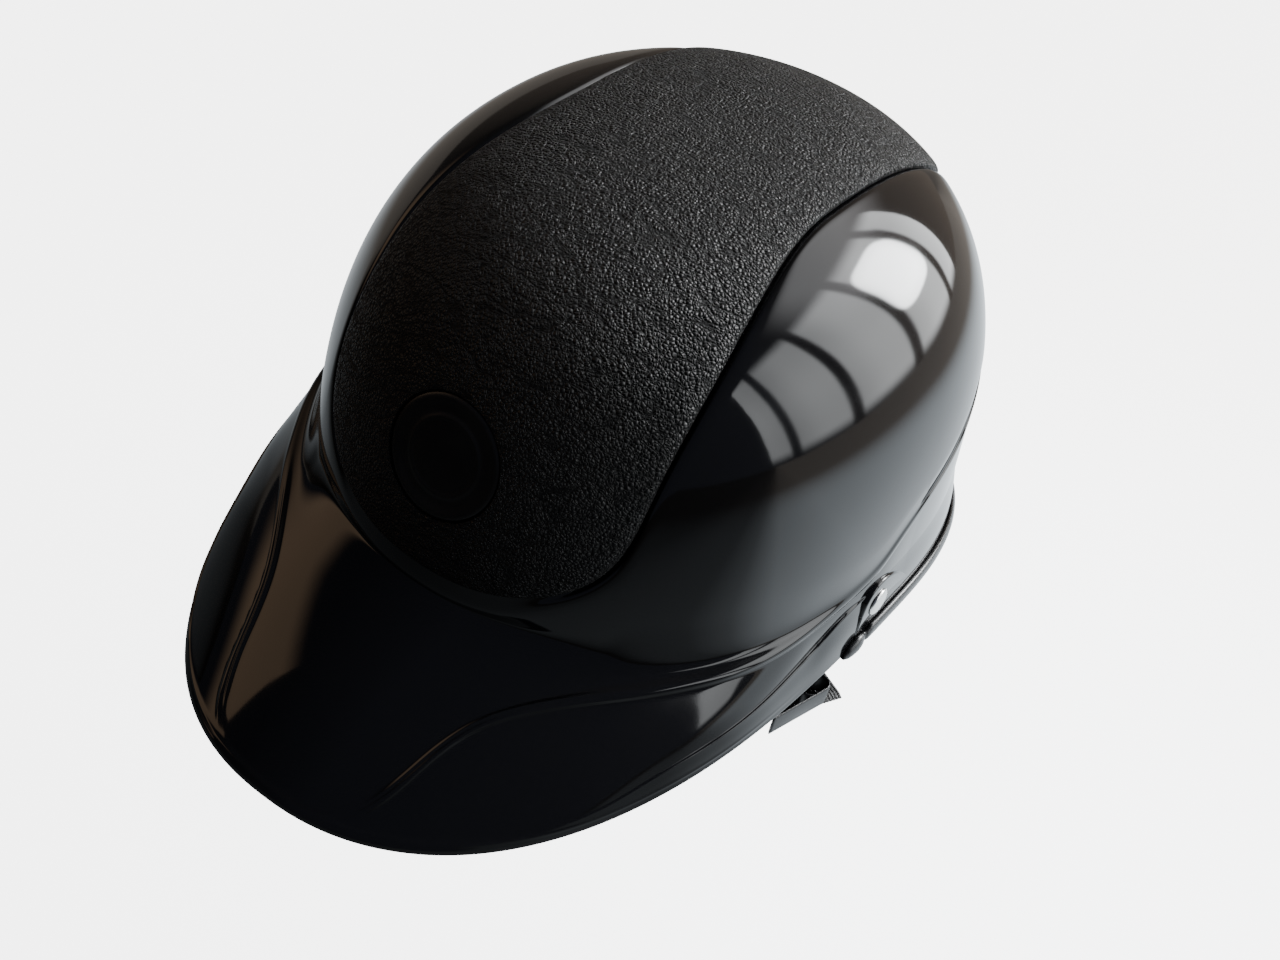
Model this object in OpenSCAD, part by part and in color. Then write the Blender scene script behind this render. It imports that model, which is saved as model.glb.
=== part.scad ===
/* [Crown] */
// Half of the crown's width at the ears
crown_half_w = 103; // [98:0.5:108]
// Reach of the crown in front of its centre
crown_front = 129.5; // [124:0.5:134]
// Reach of the crown behind its centre
crown_rear = 117.5; // [112:0.5:122]
// Height of the crown's top above the surface it rests on
crown_h = 156.8; // [150:0.2:164]
// Height at which the crown is widest
belt_z = 33.6; // [28:0.2:38]
// Squareness of the crown seen from above, where 2 is an ellipse
crown_plan_n = 2.05; // [2:0.01:2.2]
// Squareness of the crown seen from the side, where 2 is an ellipse
crown_side_n = 2.87; // [2.6:0.01:3.1]

/* [Peak and rim] */
// Reach of the peak's lip in front of the crown's centre
rim_front = 189.5; // [180:0.5:200]
// Reach of the rear rim behind the crown's centre
rim_rear = 133; // [129:0.5:138]
// Half of the rim's width
rim_half_w = 104.3; // [102:0.1:107]
// Squareness of the rim seen from above, where 2 is an ellipse
rim_plan_n = 2.22; // [2.1:0.01:2.4]
// Rise of the rim over the ears
rim_arch = 21; // [15:0.5:26]
// Upward bulge of the peak between the crown and its lip
peak_bulge = 4; // [2:0.5:6]
// Height of the raised line that sweeps from the ears onto the peak
ridge_h = 1.1; // [0.4:0.1:1.6]
// Depth of the hollow between that line and the crown
hollow_d = 1.3; // [0.4:0.1:1.8]
// Height of the step at the top of the lip band
band_step = 0.8; // [0.3:0.1:1.2]

/* [Shell and liner walls] */
// Thickness of the shell
shell_t = 3; // [2.6:0.1:3.6]
// Depth of the seat that the crown panel lies in
seat_d = 2.2; // [1.8:0.1:2.6]
// Thickness of the foam liner
liner_t = 18; // [15:0.5:22]
// Gap between the shell and the foam liner
liner_gap = 1; // [0.9:0.1:1.4]

/* [Crown panel] */
// Half of the panel's width over the forehead
panel_half_front = 57; // [52:0.5:60]
// Half of the panel's width over the crown
panel_half_rear = 46; // [42:0.5:50]
// Height of the panel's edge over the forehead
panel_front_z = 54; // [52.5:0.5:60]
// Height of the panel's edge at the rear
panel_rear_z = 114; // [110:0.5:120]
// Height of the panel above the gloss surface round it
panel_proud = 0.5; // [0.2:0.1:0.8]
// Height of the emblem dish's centre
emblem_z = 93; // [88:0.5:98]
// Radius of the emblem dish
emblem_r = 19.2; // [16:0.1:21]
// Depth of the emblem dish at its middle
emblem_d = 1.3; // [0.8:0.1:1.4]

/* [Edge trim] */
// Thickness of the rubber edge trim
trim_t = 1.8; // [1.4:0.1:2.4]
// Height of the trim's outer leg
trim_h = 6; // [5:0.5:6.5]
// Direction at which the trim ends, counted from the front
trim_end = 73; // [70:1:80]

/* [Strap rivets] */
// Distance of each rivet ahead of the crown's centre
rivet_ahead = 17; // [12:0.5:22]
// Height of the rivets
rivet_z = 35; // [33:0.5:37]
// Radius of the rivet's head
rivet_head_r = 5; // [4:0.1:6]
// Radius of the rivet's shank
rivet_r = 2.25; // [1.9:0.05:2.5]

/* [Straps] */
// Width of the webbing
web_w = 20; // [18:0.5:21]
// Thickness of the webbing
web_t = 1.5; // [1.2:0.1:1.6]

/* [Buckle] */
// Width of the buckle's socket
socket_w = 33; // [31:0.5:36]
// Length of the buckle's socket
socket_l = 32; // [28:0.5:36]
// Thickness of the buckle's socket
socket_h = 9; // [8.6:0.1:10]
// Thickness of the buckle's plug
plug_h = 5.4; // [5:0.1:5.8]

/* [Pads] */
// Thickness of the comfort pads
pad_t = 7; // [5:0.5:8]
// Thickness of the hook-and-loop dots behind them
dot_t = 0.9; // [0.7:0.1:1.1]

/* [Hidden] */

// Gap between the rim and the trim round it
trim_gap = 0.25;
// The crown's centre lies behind the origin, which is the middle of the whole outline
centre_y = (rim_front - rim_rear - trim_t - trim_gap) / 2;
// The shell's flat rivet pads, whose distance from the middle plane follows the side's slant
pad_x = crown_half_w + 0.76 * (rim_half_w - crown_half_w) - 0.188;

// Colours
gloss_black = [0.05, 0.05, 0.055];
leather_black = [0.13, 0.13, 0.13];
matte_black = [0.09, 0.09, 0.09];
rubber_black = [0.16, 0.16, 0.17];
foam_grey = [0.30, 0.30, 0.31];
cloth_black = [0.20, 0.20, 0.22];
steel = [0.75, 0.75, 0.77];
web_black = [0.11, 0.11, 0.12];

// Directions, in degrees from the front towards the wearer's left, at which the shell is ruled
half_turn = concat(
    [0, 4, 7],
    [for (a = [8.5 : 1.5 : 19]) a],
    [for (a = [21 : 3 : 36]) a],
    [for (a = [40.5 : 4.5 : 58.5]) a],
    [for (a = [62 : 3 : 86]) a],
    [for (k = [1 : 15]) 86 + 94 * k / 15]
);
last_half = len(half_turn) - 1;
around = concat(half_turn, [for (i = [1 : last_half - 1]) 360 - half_turn[last_half - i]]);
coarse_around = [for (k = [0 : 47]) k * 7.5];

// General functions
function mix(a, b, t) = a + (b - a) * t;
function clamp01(t) = max(0, min(1, t));
function ease(t) = let (c = clamp01(t)) c * c * (3 - 2 * c);
function unit(v) = v / norm(v);
function fold(a) = let (m = a % 360) m > 180 ? 360 - m : m;

// A smooth curve through key points given as [direction, value]
function key_slope(k, i) =
    i == 0 || i == len(k) - 1 ? 0 : (k[i + 1][1] - k[i - 1][1]) / (k[i + 1][0] - k[i - 1][0]);
function key_span(k, x, i = 0) = i >= len(k) - 2 || x < k[i + 1][0] ? i : key_span(k, x, i + 1);
function curve(k, x) =
    let (
        i = key_span(k, x),
        w = k[i + 1][0] - k[i][0],
        t = clamp01((x - k[i][0]) / w)
    )
    k[i][1] * (1 + 2 * t) * pow(1 - t, 2) + key_slope(k, i) * w * t * pow(1 - t, 2)
    + k[i + 1][1] * t * t * (3 - 2 * t) + key_slope(k, i + 1) * w * t * t * (t - 1);

// Radius of a squared ellipse in direction a
function plan_radius(a, half_w, front, rear, n) =
    let (reach = cos(a) > 0 ? front : rear)
    pow(pow(abs(sin(a)) / half_w, n) + pow(abs(cos(a)) / reach, n), -1 / n);
// A point from its direction, radius and height
function place(a, p) = [p[0] * sin(a), centre_y - p[0] * cos(a), p[1]];

// Crown surface: lat runs from 0 at the top to 90 at the widest level, d is the depth below it
function crown_radius(a, d) =
    plan_radius(a, crown_half_w - d, crown_front - d, crown_rear - d, crown_plan_n);
function crown(a, lat, d) = [
    crown_radius(a, d) * pow(sin(lat), 2 / crown_side_n),
    belt_z + (crown_h - d - belt_z) * pow(cos(lat), 2 / crown_side_n)
];
function lat_at_height(z, d = 0) =
    acos(pow(clamp01((z - belt_z) / (crown_h - d - belt_z)), crown_side_n / 2));
function crown_point(a, lat, d) = place(a, crown(a, lat, d));
// Degrees of lat that make one millimetre along the crown
function lat_per_mm(a, lat) = 1 / norm(crown_point(a, lat + 0.4, 0) - crown_point(a, lat - 0.6, 0));

// Outline of the crown panel: it tapers to the rear, and both of its ends are rounded
panel_round_front = 38;
panel_round_rear = 26;
panel_taper_from = 92;
panel_taper_to = 10;
panel_end_n = 2.5;
function panel_half(ahead) =
    mix(
        panel_half_rear, panel_half_front,
        ease((ahead - panel_taper_to) / (panel_taper_from - panel_taper_to))
    );
function panel_end(ahead, z) =
    ahead > 0 ? (panel_front_z + panel_round_front - z) / panel_round_front
              : (panel_rear_z + panel_round_rear - z) / panel_round_rear;
function in_panel(a, lat) =
    let (
        p = crown(a, lat, 0),
        ahead = p[0] * cos(a)
    )
    pow(p[0] * abs(sin(a)) / panel_half(ahead), panel_end_n)
    + pow(max(0, panel_end(ahead, p[1])), panel_end_n) < 1;
function panel_search(a, lo, hi, n) =
    n == 0 ? lo
    : let (mid = (lo + hi) / 2)
      in_panel(a, mid) ? panel_search(a, mid, hi, n - 1) : panel_search(a, lo, mid, n - 1);
function panel_lat(a) = panel_search(a, 5, 89, 24);
function panel_edge(a) = crown_point(a, panel_lat(a), 0);
// Degrees of lat that make one millimetre square to the panel's edge
function edge_per_mm(a) =
    let (
        lat = panel_lat(a),
        along = panel_edge(a + 0.5) - panel_edge(a - 0.5),
        down = crown_point(a, lat + 0.4, 0) - crown_point(a, lat - 0.6, 0)
    )
    norm(along) / norm(cross(along, down));
panel_lats = [for (a = around) panel_lat(a)];
panel_steps = [for (a = around) min(1.6, edge_per_mm(a))];

// Rim: level at the front and the rear, where it rests, and arched over the ears
rest_land = 0.27;
rear_lift = trim_t;
function rim_z(a) =
    rim_arch * pow(clamp01((abs(sin(a)) - rest_land) / (1 - rest_land)), 1.9)
    + rear_lift * ease((fold(a) - 70) / 60);
function rim_radius(a) = plan_radius(a, rim_half_w, rim_front, rim_rear, rim_plan_n);

// Height of the crease at the foot of the crown, which climbs behind the ears
foot_keys = [
    [0, 47.5], [16, 47], [28, 44.6], [40, 43.8], [50, 45.4], [60, 47.6], [70, 50.5],
    [78, 55], [84, 64], [92, 72], [102, 79], [112, 86], [126, 92], [150, 96], [180, 97]
];
function foot_z(a) = curve(foot_keys, fold(a));
function foot(a) = crown(a, lat_at_height(foot_z(a)), 0);

// Share of the way from the foot to the rim at which the raised line runs
ridge_keys = [
    [0, 0.93], [6, 0.92], [9, 0.84], [11, 0.71], [13, 0.55], [15.5, 0.42], [19, 0.325], [24, 0.25],
    [30, 0.2], [40, 0.165], [52, 0.165], [60, 0.15], [68, 0.11], [76, 0.07], [90, 0.06], [180, 0.06]
];
// The same for the top of the lip band, as the share in radius and the share in height
band_out_keys = [
    [0, 0.955], [20, 0.95], [31, 0.925], [38, 0.84], [45, 0.81], [50, 0.76], [55, 0.64],
    [60, 0.43], [65, 0.17], [72, 0.12], [90, 0.3], [120, 0.42], [180, 0.5]
];
band_down_keys = [
    [0, 0.94], [20, 0.93], [31, 0.84], [38, 0.74], [45, 0.67], [50, 0.635], [55, 0.585],
    [60, 0.53], [65, 0.48], [69, 0.36], [74, 0.3], [90, 0.5], [120, 0.6], [180, 0.68]
];
// How far the raised line, the hollow behind it and the step of the lip band stand out
ridge_keys_h = [[0, 0], [8, 0], [11, 0.7], [15, 1], [62, 1], [72, 0.3], [80, 0.2], [180, 0.2]];
hollow_keys = [[0, 0], [14, 0], [28, 0.7], [40, 1], [60, 1], [70, 0.5], [78, 0.5], [180, 0.5]];
step_keys = [[0, 0.3], [20, 0.4], [32, 1], [70, 1], [78, 0.2], [90, 0], [180, 0]];
ridge_w = 3.2;

// Peak and skirt between the foot and the rim, by the shares of radius and height
function skirt_frame(a) =
    let (
        f = foot(a),
        e = [rim_radius(a), rim_z(a)],
        c = unit(e - f)
    )
    [f, e, [-c[1], c[0]], norm(e - f)];
function skirt(s, out, down, lift) =
    [mix(s[0][0], s[1][0], out), mix(s[0][1], s[1][1], down)] + s[2] * lift;
function bulge(a, t) = peak_bulge * pow(max(0, cos(a)), 1.2) * sin(180 * clamp01(t));
function skirt_rows(a) =
    let (
        s = skirt_frame(a),
        f = fold(a),
        q = curve(ridge_keys, f),
        r = curve(ridge_keys_h, f) * ridge_h,
        h = curve(hollow_keys, f) * hollow_d,
        bo = curve(band_out_keys, f),
        bd = curve(band_down_keys, f),
        st = curve(step_keys, f) * band_step,
        run = (curve(ridge_keys, f + 0.5) - curve(ridge_keys, f - 0.5)) * s[3] / (s[1][0] * PI / 180),
        w = min(ridge_w / s[3] * norm([1, run]), 0.4 * (bd - q)),
        qo = mix(q, q * bo / bd, ease((f - 20) / 40)),
        wo = w * bo / bd
    )
    [
        s[0],
        skirt(s, qo / 2, q / 2, bulge(a, q / 2) - h),
        skirt(s, qo, q, bulge(a, q) + r),
        skirt(s, qo + wo, q + w, bulge(a, q + w) - r * 0.3),
        skirt(s, mix(qo + wo, bo, 0.35), mix(q + w, bd, 0.35), bulge(a, mix(q + w, bd, 0.35))),
        skirt(s, mix(qo + wo, bo, 0.7), mix(q + w, bd, 0.7), bulge(a, mix(q + w, bd, 0.7))),
        skirt(s, bo, bd, bulge(a, bd) - st * 0.4),
        skirt(s, mix(bo, 1, 0.16), mix(bd, 1, 0.16), bulge(a, bd) * 0.84 + st * 0.6),
        skirt(s, mix(bo, 1, 0.8), mix(bd, 1, 0.8), bulge(a, bd) * 0.2 + 0.3),
        s[1]
    ];

// Inner side of the shell along the same directions
crown_lats = 5;
function seat_rows(a, lat) = [for (k = [1 : 7]) crown(a, lat * k / 7 - (k == 7 ? 0.2 : 0), seat_d)];
function shoulder_rows(a, lat, mm) = [
    crown(a, lat + mm * 0.5, seat_d * 0.4),
    crown(a, lat + mm * 1.8, seat_d * 0.1),
    crown(a, lat + mm * 4.5, 0)
];
function crown_rows(a, lat, mm, d, n) =
    let (
        from = lat + mm * 4.5,
        to = lat_at_height(foot_z(a))
    )
    [for (k = [1 : n]) crown(a, mix(from, to, k / (n + 1)), d)];
function outer_rows(i) =
    let (
        a = around[i],
        lat = panel_lats[i],
        mm = panel_steps[i]
    )
    concat(
        seat_rows(a, lat), shoulder_rows(a, lat, mm),
        crown_rows(a, lat, mm, 0, crown_lats), skirt_rows(a)
    );
lip_land = shell_t + 0.4;
function inner_skirt_rows(a) =
    let (
        s = skirt_frame(a),
        rows = skirt_rows(a),
        lean = pow(max(0, cos(a)), 1.2)
    )
    [
        [rows[9][0] - lip_land, rows[9][1]],
        rows[6] - s[2] * shell_t,
        rows[5] - s[2] * shell_t,
        rows[4] - s[2] * shell_t,
        [rows[0][0] - shell_t, rows[0][1] - shell_t * 0.45 * lean]
    ];
function inner_rows(i) =
    let (
        a = around[i],
        lat = panel_lats[i],
        mm = panel_steps[i],
        to = lat_at_height(foot_z(a)),
        from = min(lat + mm * 8, mix(lat, to, 0.75))
    )
    concat(
        inner_skirt_rows(a),
        [for (k = [2 : -1 : 0]) crown(a, mix(from, to, k / 3), shell_t)],
        [crown(a, lat + mm * 2.5, shell_t + seat_d), crown(a, lat - mm * 1.5, shell_t + seat_d)],
        [for (k = [6 : -1 : 1]) crown(a, lat * k / 7, shell_t + seat_d)]
    );

// The two triangles between four corners, cut along the shorter diagonal
function halves(pts, a, b, c, d) =
    norm(pts[a] - pts[c]) < norm(pts[b] - pts[d]) + 0.001 ? [[a, b, c], [a, c, d]] : [[a, b, d], [b, c, d]];
// A closed body from a start point, rings of equal length and an end point
module loft(first, rings, last) {
    n = len(rings[0]);
    m = len(rings);
    points = concat([first], [for (r = rings) for (p = r) p], [last]);
    end = len(points) - 1;
    faces = concat(
        [for (j = [0 : n - 1]) [0, 1 + (j + 1) % n, 1 + j]],
        [for (i = [0 : m - 2]) for (j = [0 : n - 1]) let (k = (j + 1) % n)
            each halves(points, 1 + i * n + j, 1 + i * n + k, 1 + (i + 1) * n + k, 1 + (i + 1) * n + j)],
        [for (j = [0 : n - 1]) [end, end - n + j, end - n + (j + 1) % n]]
    );
    polyhedron(points, faces);
}
// Rows that are given for each direction, turned into rings of points
function rings_of(rows, dirs) =
    [for (k = [0 : len(rows[0]) - 1]) [for (i = [0 : len(dirs) - 1]) place(dirs[i], rows[i][k])]];

module outer_form() {
    rows = [for (i = [0 : len(around) - 1]) concat(outer_rows(i), inner_rows(i))];
    top = [0, centre_y, crown_h - seat_d];
    loft(top, rings_of(rows, around), top - [0, 0, shell_t]);
}

// Rivets, and the flat pads of the shell that they clamp
rivet_y = centre_y - rivet_ahead;
pad_r = 9.5;
pad_depth = 2.2;
boss_r = 8;
boss_depth = 5.8;
pad_inner_x = pad_x - boss_depth;
// Outline of the pad's top as [distance behind the rivet, height above it]
pad_top_keys = [
    [-pad_r, -1], [-8.6, 4.5], [-6, 8.2], [-1, 9.7], [4, 8.9], [11, 5.5], [20, -1.5], [31, -11]
];
pad_reach = 26;
// Height, above the rivet, of the trim's upper edge at distance y behind it
function trim_top(y) =
    rim_z(acos((rivet_ahead - y) / rim_half_w)) + trim_h + trim_gap - rivet_z;
bore_gap = 0.1;
module at_rivet(side) {
    mirror([side < 0 ? 1 : 0, 0, 0]) translate([0, rivet_y, rivet_z]) rotate([0, 90, 0]) children();
}
// The pad's outside slopes down to the rim behind the rivet, and its inside is a round boss
module rivet_pad() {
    steps = [for (k = [0 : 24]) mix(pad_reach, -pad_r, k / 24)];
    translate([0, 0, pad_inner_x]) cylinder(h = pad_x - pad_inner_x - 0.5, r = boss_r, $fn = 64);
    translate([0, 0, pad_x - pad_depth]) linear_extrude(height = pad_depth) polygon(concat(
        [for (y = steps) [-max(curve(pad_top_keys, y), trim_top(y) + 0.3), y]],
        [for (k = [24 : -1 : 0]) [-trim_top(steps[k]), steps[k]]]
    ));
}
module outer_shell() {
    color(gloss_black) difference() {
        union() {
            outer_form();
            for (side = [1, -1]) at_rivet(side) rivet_pad();
        }
        for (side = [1, -1]) at_rivet(side)
            translate([0, 0, pad_inner_x - 2]) cylinder(h = 12, r = rivet_r + bore_gap, $fn = 32);
    }
}

// Crown panel: grained covering over thin foam, with its edge rolled into the seat
panel_gap = 0.25;
function panel_rows(i) =
    let (
        a = around[i],
        lat = panel_lats[i],
        mm = panel_steps[i],
        flat = lat - mm * 4
    )
    concat(
        [for (k = [1 : 7]) crown(a, flat * k / 7, -panel_proud)],
        [
            crown(a, lat - mm * 1.6, -panel_proud * 0.4),
            crown(a, lat - mm * 0.7, seat_d * 0.35),
            crown(a, lat - mm * 0.7, seat_d - panel_gap)
        ],
        [for (k = [6 : -1 : 1]) crown(a, lat * k / 7, seat_d - panel_gap)]
    );
emblem_lat = lat_at_height(emblem_z);
emblem_mid = crown_point(0, emblem_lat, 0);
emblem_up = unit(crown_point(0, emblem_lat - 0.5, 0) - crown_point(0, emblem_lat + 0.5, 0));
emblem_tilt = atan2(-emblem_up[1], emblem_up[2]);
hole_gap = 0.4;
emblem_gap = 0.3;
module at_emblem() {
    translate(emblem_mid) rotate([90 + emblem_tilt, 0, 0]) children();
}
module crown_panel() {
    rows = [for (i = [0 : len(around) - 1]) panel_rows(i)];
    color(leather_black) difference() {
        loft(
            [0, centre_y, crown_h + panel_proud], rings_of(rows, around),
            [0, centre_y, crown_h - seat_d + panel_gap]
        );
        at_emblem() translate([0, 0, -8]) cylinder(h = 16, r = emblem_r + hole_gap, $fn = 96);
    }
}

// Emblem dish: a plain pressed disc that follows the crown and is hollowed towards its middle
function emblem_point(r, t, d) =
    crown_point(
        r * sin(t) / crown(0, emblem_lat, 0)[0] * 180 / PI,
        emblem_lat + r * cos(t) * lat_per_mm(0, emblem_lat), d
    );
module emblem_dish() {
    turns = [for (k = [0 : 35]) k * 10];
    under_d = seat_d - emblem_gap;
    hollow = [[0.3, 0.94], [0.6, 0.75], [0.82, 0.42], [0.93, 0.1], [1.08, 0.1]];
    top = [for (h = hollow) [for (t = turns) emblem_point(emblem_r * h[0], t, emblem_d * h[1])]];
    under = [for (s = [1.08, 0.5]) [for (t = turns) emblem_point(emblem_r * s, t, under_d)]];
    color(matte_black) intersection() {
        loft(emblem_point(0, 0, emblem_d), concat(top, under), emblem_point(0, 0, under_d));
        at_emblem() translate([0, 0, -8]) cylinder(h = 16, r = emblem_r, $fn = 96);
    }
}

// Edge trim: a rubber channel over the rear rim, whose cut ends are pressed into a leaf shape.
// The keys are [degrees from the end, share of the full size]
leaf_h_keys = [[0, 0.35], [1.6, 0.9], [3.4, 1.12], [5, 0.95], [6.2, 0.7], [8, 1]];
leaf_t_keys = [[0, 0.5], [3.4, 1.3], [6.2, 0.6], [8, 1]];
leaf_steps = [0, 0.8, 1.6, 2.5, 3.4, 4.2, 5, 5.6, 6.2, 7, 8];
trim_dirs = concat(
    [for (s = leaf_steps) trim_end + s],
    [for (a = around) if (a > trim_end + 8.5 && a < 351.5 - trim_end) a],
    [for (k = [len(leaf_steps) - 1 : -1 : 0]) 360 - trim_end - leaf_steps[k]]
);
// Radius of a polyline of [radius, height] points at the given height, counted from its last point up
function radius_at(rows, z, k) =
    k == 0 || rows[k - 1][1] >= z
        ? mix(rows[k][0], rows[k - 1][0], (z - rows[k][1]) / (rows[k - 1][1] - rows[k][1]))
        : radius_at(rows, z, k - 1);
function trim_ring(a) =
    let (
        rows = skirt_rows(a),
        z = rim_z(a),
        h = trim_h * curve(leaf_h_keys, min(8, fold(a) - trim_end)),
        t = trim_t * curve(leaf_t_keys, min(8, fold(a) - trim_end)),
        knee = rows[8][1] - z,
        o = rim_radius(a) + trim_gap,
        o_knee = rows[8][0] + trim_gap,
        lean = radius_at(rows, z + h, 9) - rim_radius(a),
        o_top = rim_radius(a) + lean + 2.4 * trim_gap,
        i = rim_radius(a) - lip_land - trim_gap
    )
    [for (p = [
        [o, z - trim_gap], [i, z - trim_gap],
        [i + lean, z + h - 1], [i - t + lean, z + h - 1],
        [i - t, z - t + 0.7], [i - t + 0.8, z - t], [o + t - 0.8, z - t], [o + t, z - t + 0.7],
        [o_top + t, z + h - 0.6], [o_top + t - 0.6, z + h], [o_top, z + h], [o_knee, z + min(knee, h * 0.9)]
    ]) place(a, p)];
// A solid swept through rings of equal length, closed by a flat face at each end
module sweep(rings) {
    n = len(rings[0]);
    m = len(rings);
    points = [for (r = rings) for (p = r) p];
    faces = concat(
        [[for (j = [0 : n - 1]) n - 1 - j]],
        [for (i = [0 : m - 2]) for (j = [0 : n - 1]) let (k = (j + 1) % n)
            each halves(points, i * n + j, i * n + k, (i + 1) * n + k, (i + 1) * n + j)],
        [[for (j = [0 : n - 1]) (m - 1) * n + j]]
    );
    polyhedron(points, faces);
}
module edge_trim() {
    color(rubber_black) sweep([for (a = trim_dirs) trim_ring(a)]);
}

// Foam liner: follows the inside of the crown and ends above the straps
liner_out = shell_t + seat_d + liner_gap;
liner_in = liner_out + liner_t;
liner_edge_keys = [[0, 49], [40, 47], [60, 49], [80, 52], [100, 46], [130, 26], [150, 18], [180, 17]];
function liner_edge_z(a) = curve(liner_edge_keys, fold(a));
function liner_rows(a) =
    let (
        z = liner_edge_z(a),
        low = max(z, belt_z),
        lo = lat_at_height(low + 6, liner_out),
        li = lat_at_height(low + 2, liner_in),
        ro = crown_radius(a, liner_out),
        ri = crown_radius(a, liner_in)
    )
    concat(
        [for (k = [1 : 6]) crown(a, lo * k / 6, liner_out)],
        [[mix(crown(a, lo, liner_out)[0], ro, 0.6), z + 1.5], [ro - 3, z]],
        [[ri + 4, z], [mix(crown(a, li, liner_in)[0], ri, 0.3), z + 2.5]],
        [for (k = [6 : -1 : 1]) crown(a, li * k / 6, liner_in)]
    );
module foam_liner() {
    rows = [for (a = coarse_around) liner_rows(a)];
    top = [0, centre_y, crown_h - liner_out];
    color(foam_grey) loft(top, rings_of(rows, coarse_around), top - [0, 0, liner_t]);
}

// Comfort pads: cushions on the liner, crowned, drawn in at the sides and quilted by sewn channels
dot_gap = 1.7;
pad_gap = dot_gap + dot_t + 0.3;
crown_dot_gap = 1.1;
crown_pad_gap = crown_dot_gap + dot_t + 0.3;
pad_min_t = 1.6;
function pad_outline(u, pinch) = pow(max(0, 1 - pow(abs(u), 4)), 0.25) * (1 - pinch * (1 - u * u));
function cushion_t(u, v, channels) =
    let (
        body = pow(max(0, (1 - pow(abs(u), 4)) * (1 - pow(abs(v), 4))), 0.5),
        sewn = channels == 0 ? 1 : min([for (c = [1 : channels])
            let (at = -1 + 2 * c / (channels + 1)) clamp01(0.45 + abs(u - at) * channels * 2.2)])
    )
    mix(pad_min_t, pad_t, body * sewn);
pad_cols = 16;
pad_ranks = 8;
// Lower and upper edges of the pads, as shares of the crown's height
brow_span = [0.332, 0.523];
side_span = [0.357, 0.587];
nape_span = [0.204, 0.434];
// The pad spans the directions from..to and the two heights in span
module side_cushion(from, to, span, channels, pinch) {
    cols = [for (i = [0 : pad_cols]) -1 + 2 * i / pad_cols];
    ranks = [for (j = [0 : pad_ranks]) -1 + 2 * j / pad_ranks];
    function spot(u, v, d) =
        let (
            a = mix(from, to, (u + 1) / 2),
            z = mix(span[0], span[1], (v * mix(0.72, 1, pad_outline(u, pinch)) + 1) / 2),
            lat = lat_at_height(z, liner_in + d)
        )
        z > belt_z ? crown_point(a, lat, liner_in + d) : place(a, [crown_radius(a, liner_in + d), z]);
    function ring(u) = concat(
        [for (v = ranks) spot(u, v, pad_gap)],
        [for (j = [pad_ranks : -1 : 0]) spot(u, ranks[j], pad_gap + cushion_t(u, ranks[j], channels))]
    );
    sweep([for (u = cols) ring(u)]);
}
module crown_pad() {
    turns = [for (k = [0 : 31]) k * 11.25];
    reach = 0.447 * crown_half_w;
    function spot(s, t, d) =
        let (
            petal = 1 - 0.1 * pow(abs(sin(2 * t)), 6),
            r = reach * s * petal * (1 + 0.18 * abs(cos(t)))
        )
        crown_point(t, asin(pow(r / crown_radius(t, liner_in + d), crown_side_n / 2)), liner_in + d);
    function puff(s, t) =
        mix(
            pad_min_t, pad_t,
            pow(1 - pow(s, 4), 0.5) * clamp01(0.5 + 0.9 * abs(sin(2 * t)) + 0.9 * (0.3 - s))
        );
    shares = [0.2, 0.4, 0.6, 0.78, 0.92, 1];
    color(cloth_black) loft(
        [0, centre_y, crown_h - liner_in - crown_pad_gap],
        concat(
            [for (s = shares) [for (t = turns) spot(s, t, crown_pad_gap)]],
            [for (k = [5 : -1 : 0]) [for (t = turns) spot(shares[k], t, crown_pad_gap + puff(shares[k], t))]]
        ),
        [0, centre_y, crown_h - liner_in - crown_pad_gap - pad_t * 0.8]
    );
}
module brow_pad() {
    color(cloth_black) side_cushion(-52, 52, brow_span * crown_h, 3, 0.12);
}
module left_side_pad() {
    color(cloth_black) side_cushion(62, 118, side_span * crown_h, 1, 0.12);
}
module right_side_pad() {
    color(cloth_black) side_cushion(242, 298, side_span * crown_h, 1, 0.12);
}
module nape_pad() {
    color(cloth_black) side_cushion(132, 228, nape_span * crown_h, 3, 0.12);
}

// Hook-and-loop dots between the pads and the liner, as [direction, share of the crown's height]
dot_r = 7;
dot_spots = [
    [-34, 0.421], [0, 0.427], [34, 0.421], [78, 0.472], [102, 0.472],
    [258, 0.472], [282, 0.472], [152, 0.319], [208, 0.319]
];
module pad_dots() {
    color(matte_black) {
        for (s = dot_spots) {
            lat = lat_at_height(s[1] * crown_h, liner_in);
            p = crown_point(s[0], lat, liner_in);
            n = unit(cross(
                crown_point(s[0], lat + 1, liner_in) - p, crown_point(s[0] + 1, lat, liner_in) - p
            ));
            translate(p - n * (dot_t + dot_gap))
                rotate([0, acos(n[2]), atan2(n[1], n[0])]) cylinder(h = dot_t, r = dot_r, $fn = 40);
        }
        translate([0, centre_y, crown_h - liner_in - dot_t - crown_dot_gap]) cylinder(h = dot_t, r = dot_r, $fn = 40);
    }
}

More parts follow.
